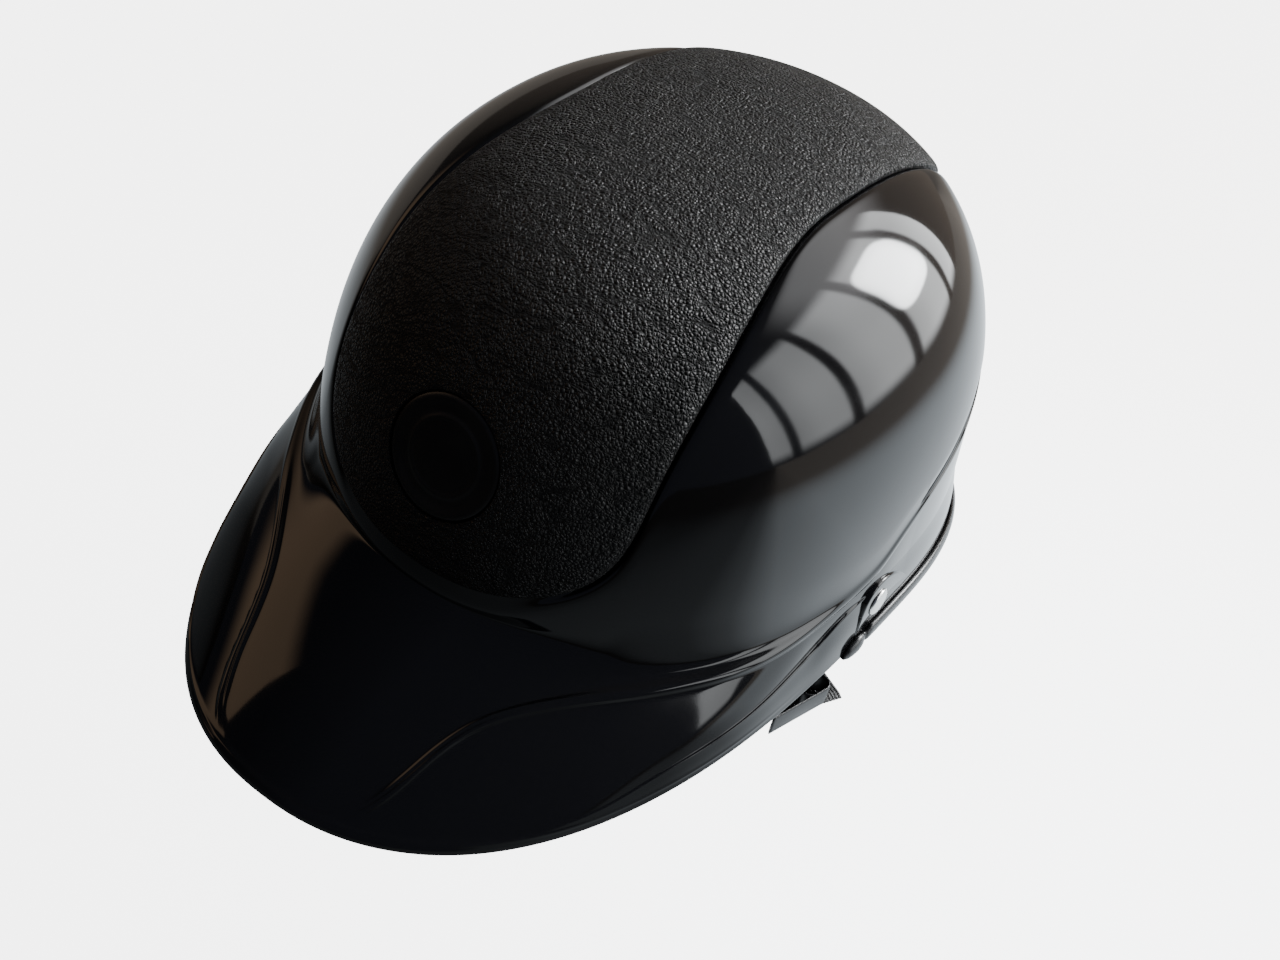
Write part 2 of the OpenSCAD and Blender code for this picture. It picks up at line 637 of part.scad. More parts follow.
// The rivet stack from the outside inwards: head, pad of the shell, eyelet, webbing, eyelet, washer
stack_gap = 0.15;
flange_t = 0.6;
web_fold = 2 * web_t + 0.15;
eyelet_out = pad_inner_x - stack_gap;
web_out = eyelet_out - flange_t - 0.05;
web_in = web_out - web_fold;
eyelet_in = web_in - 0.05 - flange_t;
washer_t = 1.1;
washer_out = eyelet_in - stack_gap;
washer_in = washer_out - washer_t;
tail_t = 1.3;
head_t = 1.5;
eyelet_r = rivet_r + 0.1;
module rivet(side) {
    at_rivet(side) rotate_extrude($fn = 64) polygon([
        [0, washer_in - tail_t], [rivet_r + 0.6, washer_in - tail_t], [rivet_r + 1.3, washer_in - 0.5],
        [rivet_r + 1.3, washer_in], [rivet_r, washer_in], [rivet_r, pad_x],
        [rivet_head_r, pad_x], [rivet_head_r, pad_x + head_t * 0.6],
        [rivet_head_r - 0.6, pad_x + head_t], [0, pad_x + head_t]
    ]);
}
module washer(side) {
    at_rivet(side) translate([0, 0, washer_in]) difference() {
        cylinder(h = washer_t, r = rivet_head_r + 0.5, $fn = 48);
        translate([0, 0, -1]) cylinder(h = washer_t + 2, r = rivet_r + 0.02, $fn = 48);
    }
}
module eyelet(side) {
    at_rivet(side) rotate_extrude($fn = 64) polygon([
        [eyelet_r, eyelet_in], [eyelet_r + 2.6, eyelet_in], [eyelet_r + 2.6, eyelet_in + flange_t],
        [eyelet_r + 0.7, eyelet_in + flange_t], [eyelet_r + 0.7, eyelet_out - flange_t],
        [eyelet_r + 2.6, eyelet_out - flange_t], [eyelet_r + 2.6, eyelet_out], [eyelet_r, eyelet_out]
    ]);
}
module left_rivet() {
    color(steel) rivet(1);
}
module right_rivet() {
    color(steel) rivet(-1);
}
module left_washer() {
    color(steel) washer(1);
}
module right_washer() {
    color(steel) washer(-1);
}
module left_eyelet() {
    color(steel) eyelet(1);
}
module right_eyelet() {
    color(steel) eyelet(-1);
}

// The stored straps run forward and inward along the floor in this direction
lie_angle = 26;
lie_dir = [-sin(lie_angle), -cos(lie_angle), 0];
lie_across = [-cos(lie_angle), sin(lie_angle), 0];
floor_gap = 0.3;
layer_low = floor_gap + web_t / 2;
layer_high = layer_low + web_t + 0.6;
// Where the webbing has reached the floor, and distances from there along lie_dir
touch = [rim_half_w - 21.3, centre_y - 58, 0];
adjuster_s = 24;
adjuster_half = 8;
arch_h = 3.2;
bar_s = 50;
bar_r = 1.3;
bar_z = floor_gap + web_t + bar_r + 0.15;
tail_s = -36.5;
function lie(s, z) = touch + lie_dir * s + [0, 0, z];
function arch(s) = abs(s - adjuster_s) > adjuster_half ? 0
    : arch_h * (1 + cos(180 * (s - adjuster_s) / adjuster_half)) / 2;

// Webbing: rings of four corners about a middle line, whose width turns from upright to level
function web_ring(p, along, across) =
    let (
        n = unit(cross(across, along)) * web_t / 2,
        w = across * web_w / 2
    )
    [p + w + n, p - w + n, p - w - n, p + w - n];
hang_down = [0, -sin(45), -cos(45)];
hang_across = [0, -cos(45), sin(45)];
layer_in = web_in + web_t / 2;
layer_out = web_out - web_t / 2;
fold_r = (layer_out - layer_in) / 2;
tab_back = 9;
tab_front = 13;
rivet_mid = [0, rivet_y, rivet_z];
// Each stop is a point, the direction of the webbing there and the direction of its width
tab_stops = concat(
    [
        [[layer_out, 0, 0] + rivet_mid + hang_down * tab_front, -hang_down, hang_across],
        [[layer_out, 0, 0] + rivet_mid - hang_down * tab_back, -hang_down, hang_across]
    ],
    [for (t = [30 : 30 : 150])
        [[layer_in + fold_r + fold_r * cos(t), 0, 0] + rivet_mid - hang_down * (tab_back + fold_r * sin(t)),
            -hang_down * cos(t) - [sin(t), 0, 0], hang_across]],
    [
        [[layer_in, 0, 0] + rivet_mid - hang_down * tab_back, hang_down, hang_across],
        [[layer_in, 0, 0] + rivet_mid + hang_down * 14, hang_down, hang_across]
    ]
);
// The twist from the tab to the floor is a smooth curve between the two ends
twist_from = [layer_in, 0, 0] + rivet_mid + hang_down * 14;
twist_to = lie(0, layer_high);
twist_pull = 22;
twist_bow = 6;
function twist_point(t) =
    [-twist_bow * pow(sin(180 * t), 2), 0, 0] +
    twist_from * (1 + 2 * t) * pow(1 - t, 2) + hang_down * twist_pull * 3 * t * pow(1 - t, 2)
    + twist_to * t * t * (3 - 2 * t) + lie_dir * twist_pull * 3 * t * t * (t - 1);
function twist_along(t) = unit(twist_point(t + 0.01) - twist_point(t - 0.01));
function square_to(v, d) = unit(v - d * (v * d));
function twist_across(t) = square_to(mix(hang_across, lie_across, ease(t * 1.15)), twist_along(t));
twist_stops = [for (k = [1 : 9]) let (t = k / 10) [twist_point(t), twist_along(t), twist_across(t)]];
function lie_stop(s, z, slope, way) =
    [lie(s, z), unit(lie_dir * way + [0, 0, slope]), lie_across];
// Points of the webbing round a bar at distance b, seen from the side
function bar_turn(b) = [for (t = [60 : -30 : -60])
    let (r = bar_r + 0.15 + web_t / 2)
    [lie(b + r * cos(t), bar_z + r * sin(t)), lie_dir * sin(t) - [0, 0, cos(t)], lie_across]];
bar_top = bar_z + bar_r + 0.15 + web_t / 2;
arch_steps = [for (k = [-8 : 8]) adjuster_s + k];
function rise(z0, z1, from, to) = [for (k = [1 : 4])
    let (t = k / 4, s = mix(from, to, t))
    lie_stop(s, mix(z0, z1, ease(t)), 0.6 * (z1 - z0) / (to - from) * (k < 4 ? 1 : 0), 1)];
left_stops = concat(
    tab_stops, twist_stops, [lie_stop(0, layer_high, 0, 1)],
    [for (s = arch_steps)
        lie_stop(s, layer_high + arch(s), (arch(s + 0.1) - arch(s - 0.1)) / 0.2, 1)],
    rise(layer_high, bar_top, adjuster_s + 12, bar_s), bar_turn(bar_s),
    [lie_stop(bar_s, layer_low, 0, -1)],
    [for (k = [16 : -1 : 0]) let (s = arch_steps[k])
        lie_stop(s, layer_low + arch(s), -(arch(s + 0.1) - arch(s - 0.1)) / 0.2, -1)],
    [lie_stop(tail_s, layer_low, 0, -1)]
);
right_bar_s = 34;
right_stops = concat(
    tab_stops, twist_stops, [lie_stop(0, layer_high, 0, 1)],
    rise(layer_high, bar_top, 14, right_bar_s), bar_turn(right_bar_s),
    [lie_stop(right_bar_s, layer_low, 0, -1), lie_stop(4, layer_low, 0, -1)]
);
module webbing(stops) {
    difference() {
        sweep([for (s = stops) web_ring(s[0], s[1], s[2])]);
        at_rivet(1) translate([0, 0, web_in - 5])
            cylinder(h = 10 + web_fold, r = eyelet_r + 0.75, $fn = 48);
    }
}
module left_webbing() {
    color(web_black) webbing(left_stops);
}
module right_webbing() {
    color(web_black) mirror([1, 0, 0]) webbing(right_stops);
}

// Frame of the pieces that lie on the stored straps: x across, y along lie_dir, z up
module lying(s, z) {
    translate(lie(s, z)) rotate([0, 0, -lie_angle]) mirror([0, 1, 0]) children();
}
module rounded_plate(w, l, h, r) {
    linear_extrude(height = h) union() {
        square([w - 2 * r, l], center = true);
        square([w, l - 2 * r], center = true);
        for (x = [-1, 1]) for (y = [-1, 1])
            translate([x * (w / 2 - r), y * (l / 2 - r)]) circle(r = r, $fn = 32);
    }
}
module cross_bar(w, r) {
    translate([-w / 2, 0, 0]) rotate([0, 90, 0]) cylinder(h = w, r = r, $fn = 32);
}

// Strap adjuster: two rails joined by three bars, with both layers woven over the middle bar
rail_w = 2.4;
adjuster_w = web_w + 2 * rail_w + 1;
outer_bar_z = layer_high + web_t / 2 + 0.25 + bar_r;
mid_bar_r = 1.3;
mid_bar_z = floor_gap + mid_bar_r;
module strap_adjuster() {
    rail_x = web_w / 2 + 0.5 + rail_w / 2;
    color(matte_black) lying(adjuster_s, 0) {
        for (x = [-1, 1]) translate([x * rail_x, 0, floor_gap])
            rounded_plate(rail_w, 2 * adjuster_half + 4, outer_bar_z + bar_r - floor_gap, 1);
        for (y = [-1, 1]) translate([0, y * adjuster_half, outer_bar_z]) cross_bar(adjuster_w - 2, bar_r);
        translate([0, 0, mid_bar_z]) cross_bar(adjuster_w - 2, mid_bar_r);
    }
}

// Keeper loop: a band of smooth tape standing on the webbing's tail, with one end running forward
keeper_s = -24.3;
keeper_x = 7.6;
keeper_turn = 78;
keeper_end = 22;
keeper_half_l = 6;
keeper_half_w = 3.8;
keeper_tape_w = 8;
keeper_tape_t = 0.8;
module oval(half_l, half_w) {
    square([2 * (half_l - half_w), 2 * half_w], center = true);
    for (x = [-1, 1]) translate([x * (half_l - half_w), 0]) circle(r = half_w, $fn = 40);
}
module keeper_loop() {
    color(rubber_black) lying(keeper_s, layer_low + web_t / 2 + 0.1) translate([keeper_x, 0, 0])
        rotate([0, 0, keeper_turn]) linear_extrude(height = keeper_tape_w) {
            difference() {
                oval(keeper_half_l, keeper_half_w);
                oval(keeper_half_l - keeper_tape_t, keeper_half_w - keeper_tape_t);
            }
            translate([0, -keeper_half_w]) square([keeper_end, keeper_tape_t]);
        }
}

// Buckle plug: a bar for the webbing, a base, a guide tongue, and two prongs that flex at their roots
plug_z = floor_gap + 0.6;
plug_w = 28;
base_s = bar_s + 5;
base_l = 7;
prong_w = 3.4;
prong_l = 24;
prong_x = plug_w / 2 - 3.6;
root_r = 1.7;
module buckle_plug() {
    color(matte_black) lying(bar_s, plug_z) {
        translate([0, 0, bar_z - plug_z]) cross_bar(plug_w - 3, bar_r);
        for (x = [-1, 1]) translate([x * (web_w / 2 + 0.6 + 1.4), 3.2, 0])
            rounded_plate(2.8, 10.4, plug_h, 1.2);
        difference() {
            translate([0, base_s - bar_s + base_l / 2, 0]) rounded_plate(plug_w, base_l, plug_h, 1.5);
            for (x = [-1, 1]) translate([x * prong_x, base_s - bar_s + base_l, -1])
                cylinder(h = plug_h + 2, r = root_r + 0.1, $fn = 40);
        }
        translate([0, base_s - bar_s + base_l + 8, 1.2]) rounded_plate(6, 18, plug_h - 2.4, 1);
    }
}
module prong(side) {
    lying(base_s + base_l, plug_z) translate([side * prong_x, 0, 0]) {
        cylinder(h = plug_h, r = root_r, $fn = 40);
        linear_extrude(height = plug_h) polygon([
            [-side * prong_w / 2, 0.6], [side * prong_w / 2, 0.6],
            [side * prong_w / 2, prong_l * 0.55], [side * (prong_w / 2 + 2.6), prong_l * 0.62],
            [side * (prong_w / 2 + 2.6), prong_l * 0.78], [side * 0.4, prong_l],
            [-side * prong_w / 2, prong_l * 0.95]
        ]);
    }
}
module buckle_prong_inner() {
    color(matte_black) prong(-1);
}
module buckle_prong_outer() {
    color(matte_black) prong(1);
}

// Buckle socket: a flat box open at the front, with a window at each side and a bar for the webbing
wall = 1.6;
module buckle_socket() {
    color(matte_black) mirror([1, 0, 0]) lying(right_bar_s, floor_gap) {
        translate([0, 0, bar_z - floor_gap]) cross_bar(plug_w - 3, bar_r);
        for (x = [-1, 1]) translate([x * (web_w / 2 + 0.6 + 1.6), 3.5, 0])
            rounded_plate(3.2, 11, socket_h - 2, 1.4);
        difference() {
            translate([0, 5 + socket_l / 2, 0]) rounded_plate(socket_w, socket_l, socket_h, 2.5);
            translate([-plug_w / 2 - 0.5, 5 + wall + 2, wall])
                cube([plug_w + 1, socket_l, socket_h - 2 * wall]);
            translate([-socket_w / 2 - 1, 5 + socket_l * 0.36, wall])
                cube([socket_w + 2, socket_l * 0.36, socket_h - 2 * wall]);
        }
    }
}

outer_shell();
crown_panel();
emblem_dish();
edge_trim();
foam_liner();
crown_pad();
brow_pad();
left_side_pad();
right_side_pad();
nape_pad();
pad_dots();
left_rivet();
right_rivet();
left_washer();
right_washer();
left_eyelet();
right_eyelet();
left_webbing();
right_webbing();
strap_adjuster();
keeper_loop();
buckle_plug();
buckle_prong_inner();
buckle_prong_outer();
buckle_socket();
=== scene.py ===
from math import cos, pi, radians, sin

import bmesh
import bpy
import numpy as np
from mathutils import Matrix, Vector


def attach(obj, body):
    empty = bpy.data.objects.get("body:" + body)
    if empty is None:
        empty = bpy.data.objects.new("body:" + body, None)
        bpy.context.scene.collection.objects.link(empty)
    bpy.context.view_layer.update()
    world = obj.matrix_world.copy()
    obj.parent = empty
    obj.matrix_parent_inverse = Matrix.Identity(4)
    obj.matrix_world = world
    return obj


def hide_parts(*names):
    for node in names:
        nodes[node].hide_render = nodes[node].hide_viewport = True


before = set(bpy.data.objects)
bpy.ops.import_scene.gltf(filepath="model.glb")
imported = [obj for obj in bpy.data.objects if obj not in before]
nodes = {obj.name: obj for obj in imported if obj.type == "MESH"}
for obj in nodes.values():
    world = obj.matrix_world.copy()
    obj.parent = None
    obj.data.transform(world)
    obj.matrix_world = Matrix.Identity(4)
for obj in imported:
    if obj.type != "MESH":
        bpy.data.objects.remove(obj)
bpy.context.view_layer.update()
MM = 0.001

# Sizes in millimetres, the same as the solids have
CROWN_HALF, CROWN_FRONT, CROWN_REAR, CROWN_H, BELT = 103, 129.5, 117.5, 156.8, 33.6
PLAN_N, SIDE_N = 2.05, 2.87
RIM_FRONT, RIM_REAR, RIM_HALF, RIM_N, RIM_ARCH = 189.5, 133, 104.3, 2.22, 21
BULGE, RIDGE_H, HOLLOW, STEP, LIP_BEAD = 4, 1.1, 1.3, 0.8, 0.3
SHELL_T, SEAT_D, LINER_T, LINER_GAP = 3, 2.2, 18, 1
PANEL_FRONT, PANEL_REAR, PANEL_Z, PANEL_REAR_Z, PANEL_N = 57, 46, 54, 114, 2.5
PROUD, PANEL_GAP = 0.5, 0.25
EMBLEM_Z, EMBLEM_R, EMBLEM_UNDER, EMBLEM_GAP = 93, 19.2, 1.85, 0.4
TRIM_T, TRIM_H, TRIM_END, TRIM_GAP = 1.8, 6, 73, 0.25
RIVET_AHEAD, RIVET_Z, HEAD_R, RIVET_R, PAD_X = 17, 35, 5, 2.25, 103.8
WEB_W, WEB_T = 20, 1.5
CY = (RIM_FRONT - RIM_REAR - TRIM_T - TRIM_GAP) / 2
RIVET_Y = CY - RIVET_AHEAD
LIP = SHELL_T + 0.4

# In every function, a is a direction in degrees: 0 ahead, 90 left, 180 behind and 270 right.
# On the crown, lat runs from 0 at the top to 90 at its belt, and d is a depth below the surface.


def fold(a):
    """The direction on the left side that mirrors it: 0 ahead to 180 behind."""
    m = np.mod(a, 360.0)
    return np.where(m > 180, 360 - m, m)


def ease(t):
    """A smooth step from 0 to 1."""
    c = np.clip(t, 0, 1)
    return c * c * (3 - 2 * c)


def mix(start, stop, t):
    return start + (stop - start) * t


def curve(keys, x):
    """A smooth curve through [direction, value] points."""
    k = np.array(keys, float)
    xs, ys = k[:, 0], k[:, 1]
    m = np.zeros(len(k))
    m[1:-1] = (ys[2:] - ys[:-2]) / (xs[2:] - xs[:-2])
    i = np.clip(np.searchsorted(xs, x, side="right") - 1, 0, len(k) - 2)
    w = xs[i + 1] - xs[i]
    t = np.clip((x - xs[i]) / w, 0, 1)
    return (ys[i] * (1 + 2 * t) * (1 - t) ** 2 + m[i] * w * t * (1 - t) ** 2
            + ys[i + 1] * t * t * (3 - 2 * t) + m[i + 1] * w * t * t * (t - 1))


GRID = np.arange(0, 360, 0.25)


def smoothed(v, sigma):
    """Values on GRID, smoothed round the turn by sigma degrees."""
    f = np.fft.rfft(v)
    k = np.arange(len(f)) * 2 * pi / 360
    return np.fft.irfft(f * np.exp(-0.5 * (sigma * k) ** 2), len(v))


def at(v, a):
    """Values on GRID, read in other directions."""
    return np.interp(np.mod(a, 360), np.append(GRID, 360), np.append(v, v[0]))


def plan_radius(a, half, front, rear, n):
    """Radius of an oval that reaches differently far ahead and behind."""
    t = np.radians(a)
    s, c = np.abs(np.sin(t)), np.cos(t)
    reach = np.where(c > 0, front, rear)
    return ((s / half) ** n + (np.abs(c) / reach) ** n) ** (-1 / n)


def unit(v):
    return v / np.linalg.norm(v, axis=-1, keepdims=True)


def square_to(v, fwd):
    """Unit vectors from v, turned square to the unit vectors fwd."""
    return unit(v - fwd * (v * fwd).sum(-1, keepdims=True))


def place(a, r, z):
    """Points [x, y, z] in direction a, at radius r and height z."""
    t = np.radians(a)
    return np.stack([r * np.sin(t), CY - r * np.cos(t), z + 0 * r], -1)


def crown_radius(a, d):
    """Radius of the crown at its belt."""
    return plan_radius(a, CROWN_HALF - d, CROWN_FRONT - d, CROWN_REAR - d, PLAN_N)


def crown(a, lat, d):
    """Radius and height of a point of the crown."""
    t = np.radians(np.clip(lat, 0, 90))
    r = crown_radius(a, d) * np.sin(t) ** (2 / SIDE_N)
    z = BELT + (CROWN_H - d - BELT) * np.maximum(np.cos(t), 0) ** (2 / SIDE_N)
    return r, z


def crown_point(a, lat, d):
    r, z = crown(a, lat, d)
    return place(a, r, z)


def lat_at_height(z, d=0.0):
    """The lat at which the crown has height z."""
    c = np.clip((z - BELT) / (CROWN_H - d - BELT), 0, 1)
    return np.degrees(np.arccos(c ** (SIDE_N / 2)))


def in_panel(a, lat):
    """Whether a point of the crown lies inside the crown panel's outline."""
    front_round, rear_round = 38, 26
    r, z = crown(a, lat, 0)
    t = np.radians(a)
    ahead = r * np.cos(t)
    half = mix(PANEL_REAR, PANEL_FRONT, ease((ahead - 10) / 82))
    front_end = (PANEL_Z + front_round - z) / front_round
    rear_end = (PANEL_REAR_Z + rear_round - z) / rear_round
    end = np.maximum(np.where(ahead > 0, front_end, rear_end), 0)
    return (r * np.abs(np.sin(t)) / half) ** PANEL_N + end ** PANEL_N < 1


# The lat of the panel's outline in each direction, found by halving
lo, hi = np.full(len(GRID), 5.0), np.full(len(GRID), 89.0)
for _ in range(30):
    mid = (lo + hi) / 2
    inside = in_panel(GRID, mid)
    lo, hi = np.where(inside, mid, lo), np.where(inside, hi, mid)
panel_lat = smoothed(lo, 0.7)

# How much lat a millimetre square to the outline takes
after = crown_point(GRID + 0.5, at(panel_lat, GRID + 0.5), 0)
before = crown_point(GRID - 0.5, at(panel_lat, GRID - 0.5), 0)
along = after - before
down = crown_point(GRID, panel_lat + 0.4, 0) - crown_point(GRID, panel_lat - 0.6, 0)
per_mm = np.linalg.norm(along, axis=1) / np.linalg.norm(np.cross(along, down), axis=1)
per_mm = smoothed(np.minimum(per_mm, 1.6), 1)

# Skirt tables of [direction, value]. FOOT is its upper edge's height. RIDGE, BAND_OUT and BAND_DOWN are
# shares of the way to the rim: down to the raised line, and out and down to the lip band.
FOOT = [[0, 47.5], [16, 47], [28, 44.6], [40, 43.8], [50, 45.4], [60, 47.6], [70, 50.5],
        [78, 55], [84, 64], [92, 72], [102, 79], [112, 86], [126, 92], [150, 96], [180, 97]]
RIDGE = [[0, 0.93], [6, 0.92], [9, 0.84], [11, 0.71], [13, 0.55], [15.5, 0.42], [19, 0.325], [24, 0.25],
         [30, 0.2], [40, 0.165], [52, 0.165], [60, 0.15], [68, 0.11], [76, 0.07], [90, 0.06], [180, 0.06]]
BAND_OUT = [[0, 0.955], [20, 0.95], [31, 0.925], [38, 0.84], [45, 0.81], [50, 0.76], [55, 0.64],
            [60, 0.43], [65, 0.17], [72, 0.12], [90, 0.3], [120, 0.42], [180, 0.5]]
BAND_DOWN = [[0, 0.94], [20, 0.93], [31, 0.84], [38, 0.74], [45, 0.67], [50, 0.635], [55, 0.585],
             [60, 0.53], [65, 0.48], [69, 0.36], [74, 0.3], [90, 0.5], [120, 0.6], [180, 0.68]]
RIDGE_UP = [[0, 0], [8, 0], [11, 0.7], [15, 1], [62, 1], [72, 0.3], [80, 0.2], [180, 0.2]]
HOLLOW_IN = [[0, 0], [14, 0], [28, 0.7], [40, 1], [60, 1], [70, 0.5], [78, 0.5], [180, 0.5]]
STEP_UP = [[0, 0.3], [20, 0.4], [32, 1], [70, 1], [78, 0.2], [90, 0], [180, 0]]


def field(keys, sigma):
    """A table of the left side as values on GRID all the way round."""
    return smoothed(curve(keys, fold(GRID)), sigma)


foot_z = field(FOOT, 1.2)
ridge = field(RIDGE, 0.6)
band_out = field(BAND_OUT, 1.2)
band_down = field(BAND_DOWN, 1.2)
ridge_up = field(RIDGE_UP, 0.8)
hollow_in = field(HOLLOW_IN, 1.2)
step_up = field(STEP_UP, 0.8)
rim_level = (RIM_ARCH * np.clip((np.abs(np.sin(np.radians(GRID))) - 0.27) / 0.73, 0, 1) ** 1.9
             + TRIM_T * ease((fold(GRID) - 70) / 60))


def rim_radius(a):
    return plan_radius(a, RIM_HALF, RIM_FRONT, RIM_REAR, RIM_N)


def side_frame(a):
    """Foot, rim, outward normal and length of the skirt's chord in each direction."""
    fr, fz = crown(a, lat_at_height(at(foot_z, a)), 0)
    er, ez = rim_radius(a), at(rim_level, a)
    length = np.hypot(er - fr, ez - fz)
    return fr, fz, er, ez, -(ez - fz) / length, (er - fr) / length, length


def skirt(a, rows, features=True):
    """Radii and heights of the skirt. A row is its share of the way from foot to rim."""
    foot_r, foot_h, rim_r, rim_h, out_r, out_h, length = side_frame(a)
    line, band_o, band_d = at(ridge, a), at(band_out, a), at(band_down, a)
    run = (at(ridge, a + 0.5) - at(ridge, a - 0.5)) * length / (rim_r * pi / 180)
    slant = 1 / np.hypot(1, run)
    line_o = mix(line, line * band_o / band_d, ease((fold(a) - 20) / 40))
    top = BULGE * np.maximum(0, np.cos(np.radians(a))) ** 1.2
    out = []
    for t in rows:
        x = np.clip((t - band_d) / (1 - band_d), 0, 1)
        below_line = line_o + (t - line) / (band_d - line) * (band_o - line_o)
        in_band = band_o + (t - band_d) / (1 - band_d) * (1 - band_o)
        share = np.where(t < line, t / line * line_o, np.where(t < band_d, below_line, in_band))
        band_lift = top * np.sin(pi * band_d) * (1 - x) ** 1.1 + 0.3 * np.sin(pi * x) ** 2
        lift = np.where(t < band_d, top * np.sin(pi * t), band_lift)
        if features:
            lift = lift - at(hollow_in, a) * HOLLOW * np.sin(pi * np.clip(t / line, 0, 1)) ** 1.3
            across = (t - line) * length * slant
            bead = ease((across + 0.9) / 1.0) * (1 - ease((across - 2.3) / 1.1))
            groove = np.exp(-((across - 0.9) / 0.45) ** 2)
            lift = lift + at(ridge_up, a) * RIDGE_H * (bead - 0.28 * groove)
            past_step = (t - band_d) * length
            above = -0.4 * np.exp(np.minimum(past_step, 0) / 5)
            below = -0.4 + ease(past_step / 1.1) - 0.25 * x
            lift = lift + at(step_up, a) * STEP * np.where(past_step < 0, above, below)
            to_lip = (1 - t) * length
            lip_bead = np.exp(-((to_lip - 4.2) / 0.7) ** 2) * (1 - ease((fold(a) - 40) / 25))
            lift = lift + LIP_BEAD * lip_bead
        out.append((foot_r + (rim_r - foot_r) * share + out_r * lift,
                    foot_h + (rim_h - foot_h) * t + out_h * lift))
    return out


# Directions of the fine model, closer together at the rivets and where the raised line turns
around = [0.0]
while around[-1] < 359.99:
    side = float(fold(around[-1] + 0.2))
    around.append(around[-1] + (0.25 if 66 <= side < 104 or 6 <= side < 20 else 0.5))
AROUND = np.array(around[:-1])


def halves(pairs):
    """A list of pairs as two arrays, such as one of radii and one of heights."""
    return np.moveaxis(np.array(pairs), 1, 0)


def outer_rows(a):
    """The shell's outer side from the middle of the panel's seat to the lip."""
    lat, mm = at(panel_lat, a), at(per_mm, a)
    rows = [crown(a, lat * k / 8, SEAT_D) for k in range(1, 8)]
    rows.append(crown(a, lat - 0.35 * mm, SEAT_D))
    shoulder = [(0.0, 1.75), (0.2, 1.3), (0.5, 0.9), (0.9, 0.58), (1.4, 0.34), (2.0, 0.18), (2.8, 0.08),
                (3.8, 0.02)]
    rows += [crown(a, lat + mm * s, d) for s, d in shoulder]
    start, stop = lat + mm * 5, lat_at_height(at(foot_z, a))
    rows += [crown(a, mix(start, stop, k / 46), 0) for k in range(46)]
    corner = len(rows)
    line, band = at(ridge, a), at(band_down, a)
    length = side_frame(a)[-1]
    wide = np.minimum(3.6 / length, 0.45 * (band - line))
    t = [line * (1 - (1 - k / 15) ** 1.4) for k in range(15)]
    t += [line + wide * (k / 13) for k in range(13)]
    t += [mix(line + wide, band, 0.5 - 0.5 * cos(pi * k / 22)) for k in range(22)]
    step = np.minimum(1.4 / length, 0.3 * (1 - band))
    t += [band + step * k / 7 for k in range(7)]
    last = 1 - 1.3 / length
    near = np.minimum(7 / length, 0.4 * (1 - band))
    t += [mix(band + step, 1 - near, k / 13) for k in range(13)]
    t += [mix(1 - near, last, k / 15) for k in range(16)]
    r, z = halves(rows + skirt(a, t))
    # The corner between the crown and the peak is a fillet, wide at the front
    lean = np.maximum(0, np.cos(np.radians(a))) ** 0.7
    dist = np.hypot(r - r[corner], z - z[corner])
    mask = np.exp(-(dist / mix(1.6, 9, lean)) ** 2)[1:-1]
    for v in (r, z) * 60:
        v[1:-1] += mask * 0.5 * (0.5 * (v[:-2] + v[2:]) - v[1:-1])
    # The lip is rounded
    rim_r, rim_h = rim_radius(a), at(rim_level, a)
    u = np.arange(1, 7)[:, None] / 6
    r = np.vstack([r, (1 - u) ** 2 * r[-1] + 2 * u * (1 - u) * rim_r + u * u * (rim_r - 1.3)])
    z = np.vstack([z, (1 - u) ** 2 * z[-1] + 2 * u * (1 - u) * rim_h + u * u * rim_h])
    return place(a, r, z)


def inner_rows(a):
    """The shell's inner side from the lip to the middle of the crown."""
    lat, mm = at(panel_lat, a), at(per_mm, a)
    rim_r, rim_h, out_r, out_h = side_frame(a)[2:6]
    rows = [(rim_r - LIP + 0.5, rim_h), (rim_r - LIP, rim_h + 0.5)]
    low = skirt(a, [1 - 0.05 * k for k in range(2, 20)], features=False)
    rows += [(r - out_r * SHELL_T, z - out_h * SHELL_T) for r, z in low]
    stop = lat_at_height(at(foot_z, a))
    start = np.minimum(lat + mm * 8, mix(lat, stop, 0.75))
    rows += [crown(a, mix(start, stop, k / 9), SHELL_T) for k in range(8, -1, -1)]
    under_seat = SHELL_T + SEAT_D
    rows += [crown(a, lat + mm * 2.5, under_seat), crown(a, lat - mm * 1.5, under_seat)]
    rows += [crown(a, lat * k / 9, under_seat) for k in range(8, 0, -1)]
    return place(a, *halves(rows))


# Rivet pads: outline of the raised flat in the side view, as [behind the rivet, above it]
PAD_TOP = [[-9.5, -1], [-8.6, 4.5], [-6, 8.2], [-1, 9.7], [4, 8.9], [11, 5.5], [20, -1.5], [31, -11]]
PAD_EDGE = [(0.5, -4), (0.5, -1.0), (0.44, -0.6), (0.28, -0.26), (0.02, -0.06), (-0.35, 0)]


def pad_outline():
    """The raised flat's outline: along its top, then back along the rim."""
    y = np.concatenate([-9.5 + 0.9 * np.linspace(0, 1, 12) ** 2, np.linspace(-8.4, 26, 80)])
    a = np.degrees(np.arccos((RIVET_AHEAD - y) / RIM_HALF))
    low = at(rim_level, a) + 1.5 - RIVET_Z
    top = np.maximum(curve(PAD_TOP, y), low + 0.3)
    return np.vstack([np.stack([y, top], 1), np.stack([y, low], 1)[::-1]])


def grown(poly, d):
    """The outline moved outward by d."""
    along = unit(np.roll(poly, -1, 0) - np.roll(poly, 1, 0))
    out = np.stack([along[:, 1], -along[:, 0]], 1)
    area2 = (poly[:, 0] * np.roll(poly[:, 1], -1) - np.roll(poly[:, 0], -1) * poly[:, 1]).sum()
    return poly + out * d * (1 if area2 > 0 else -1)


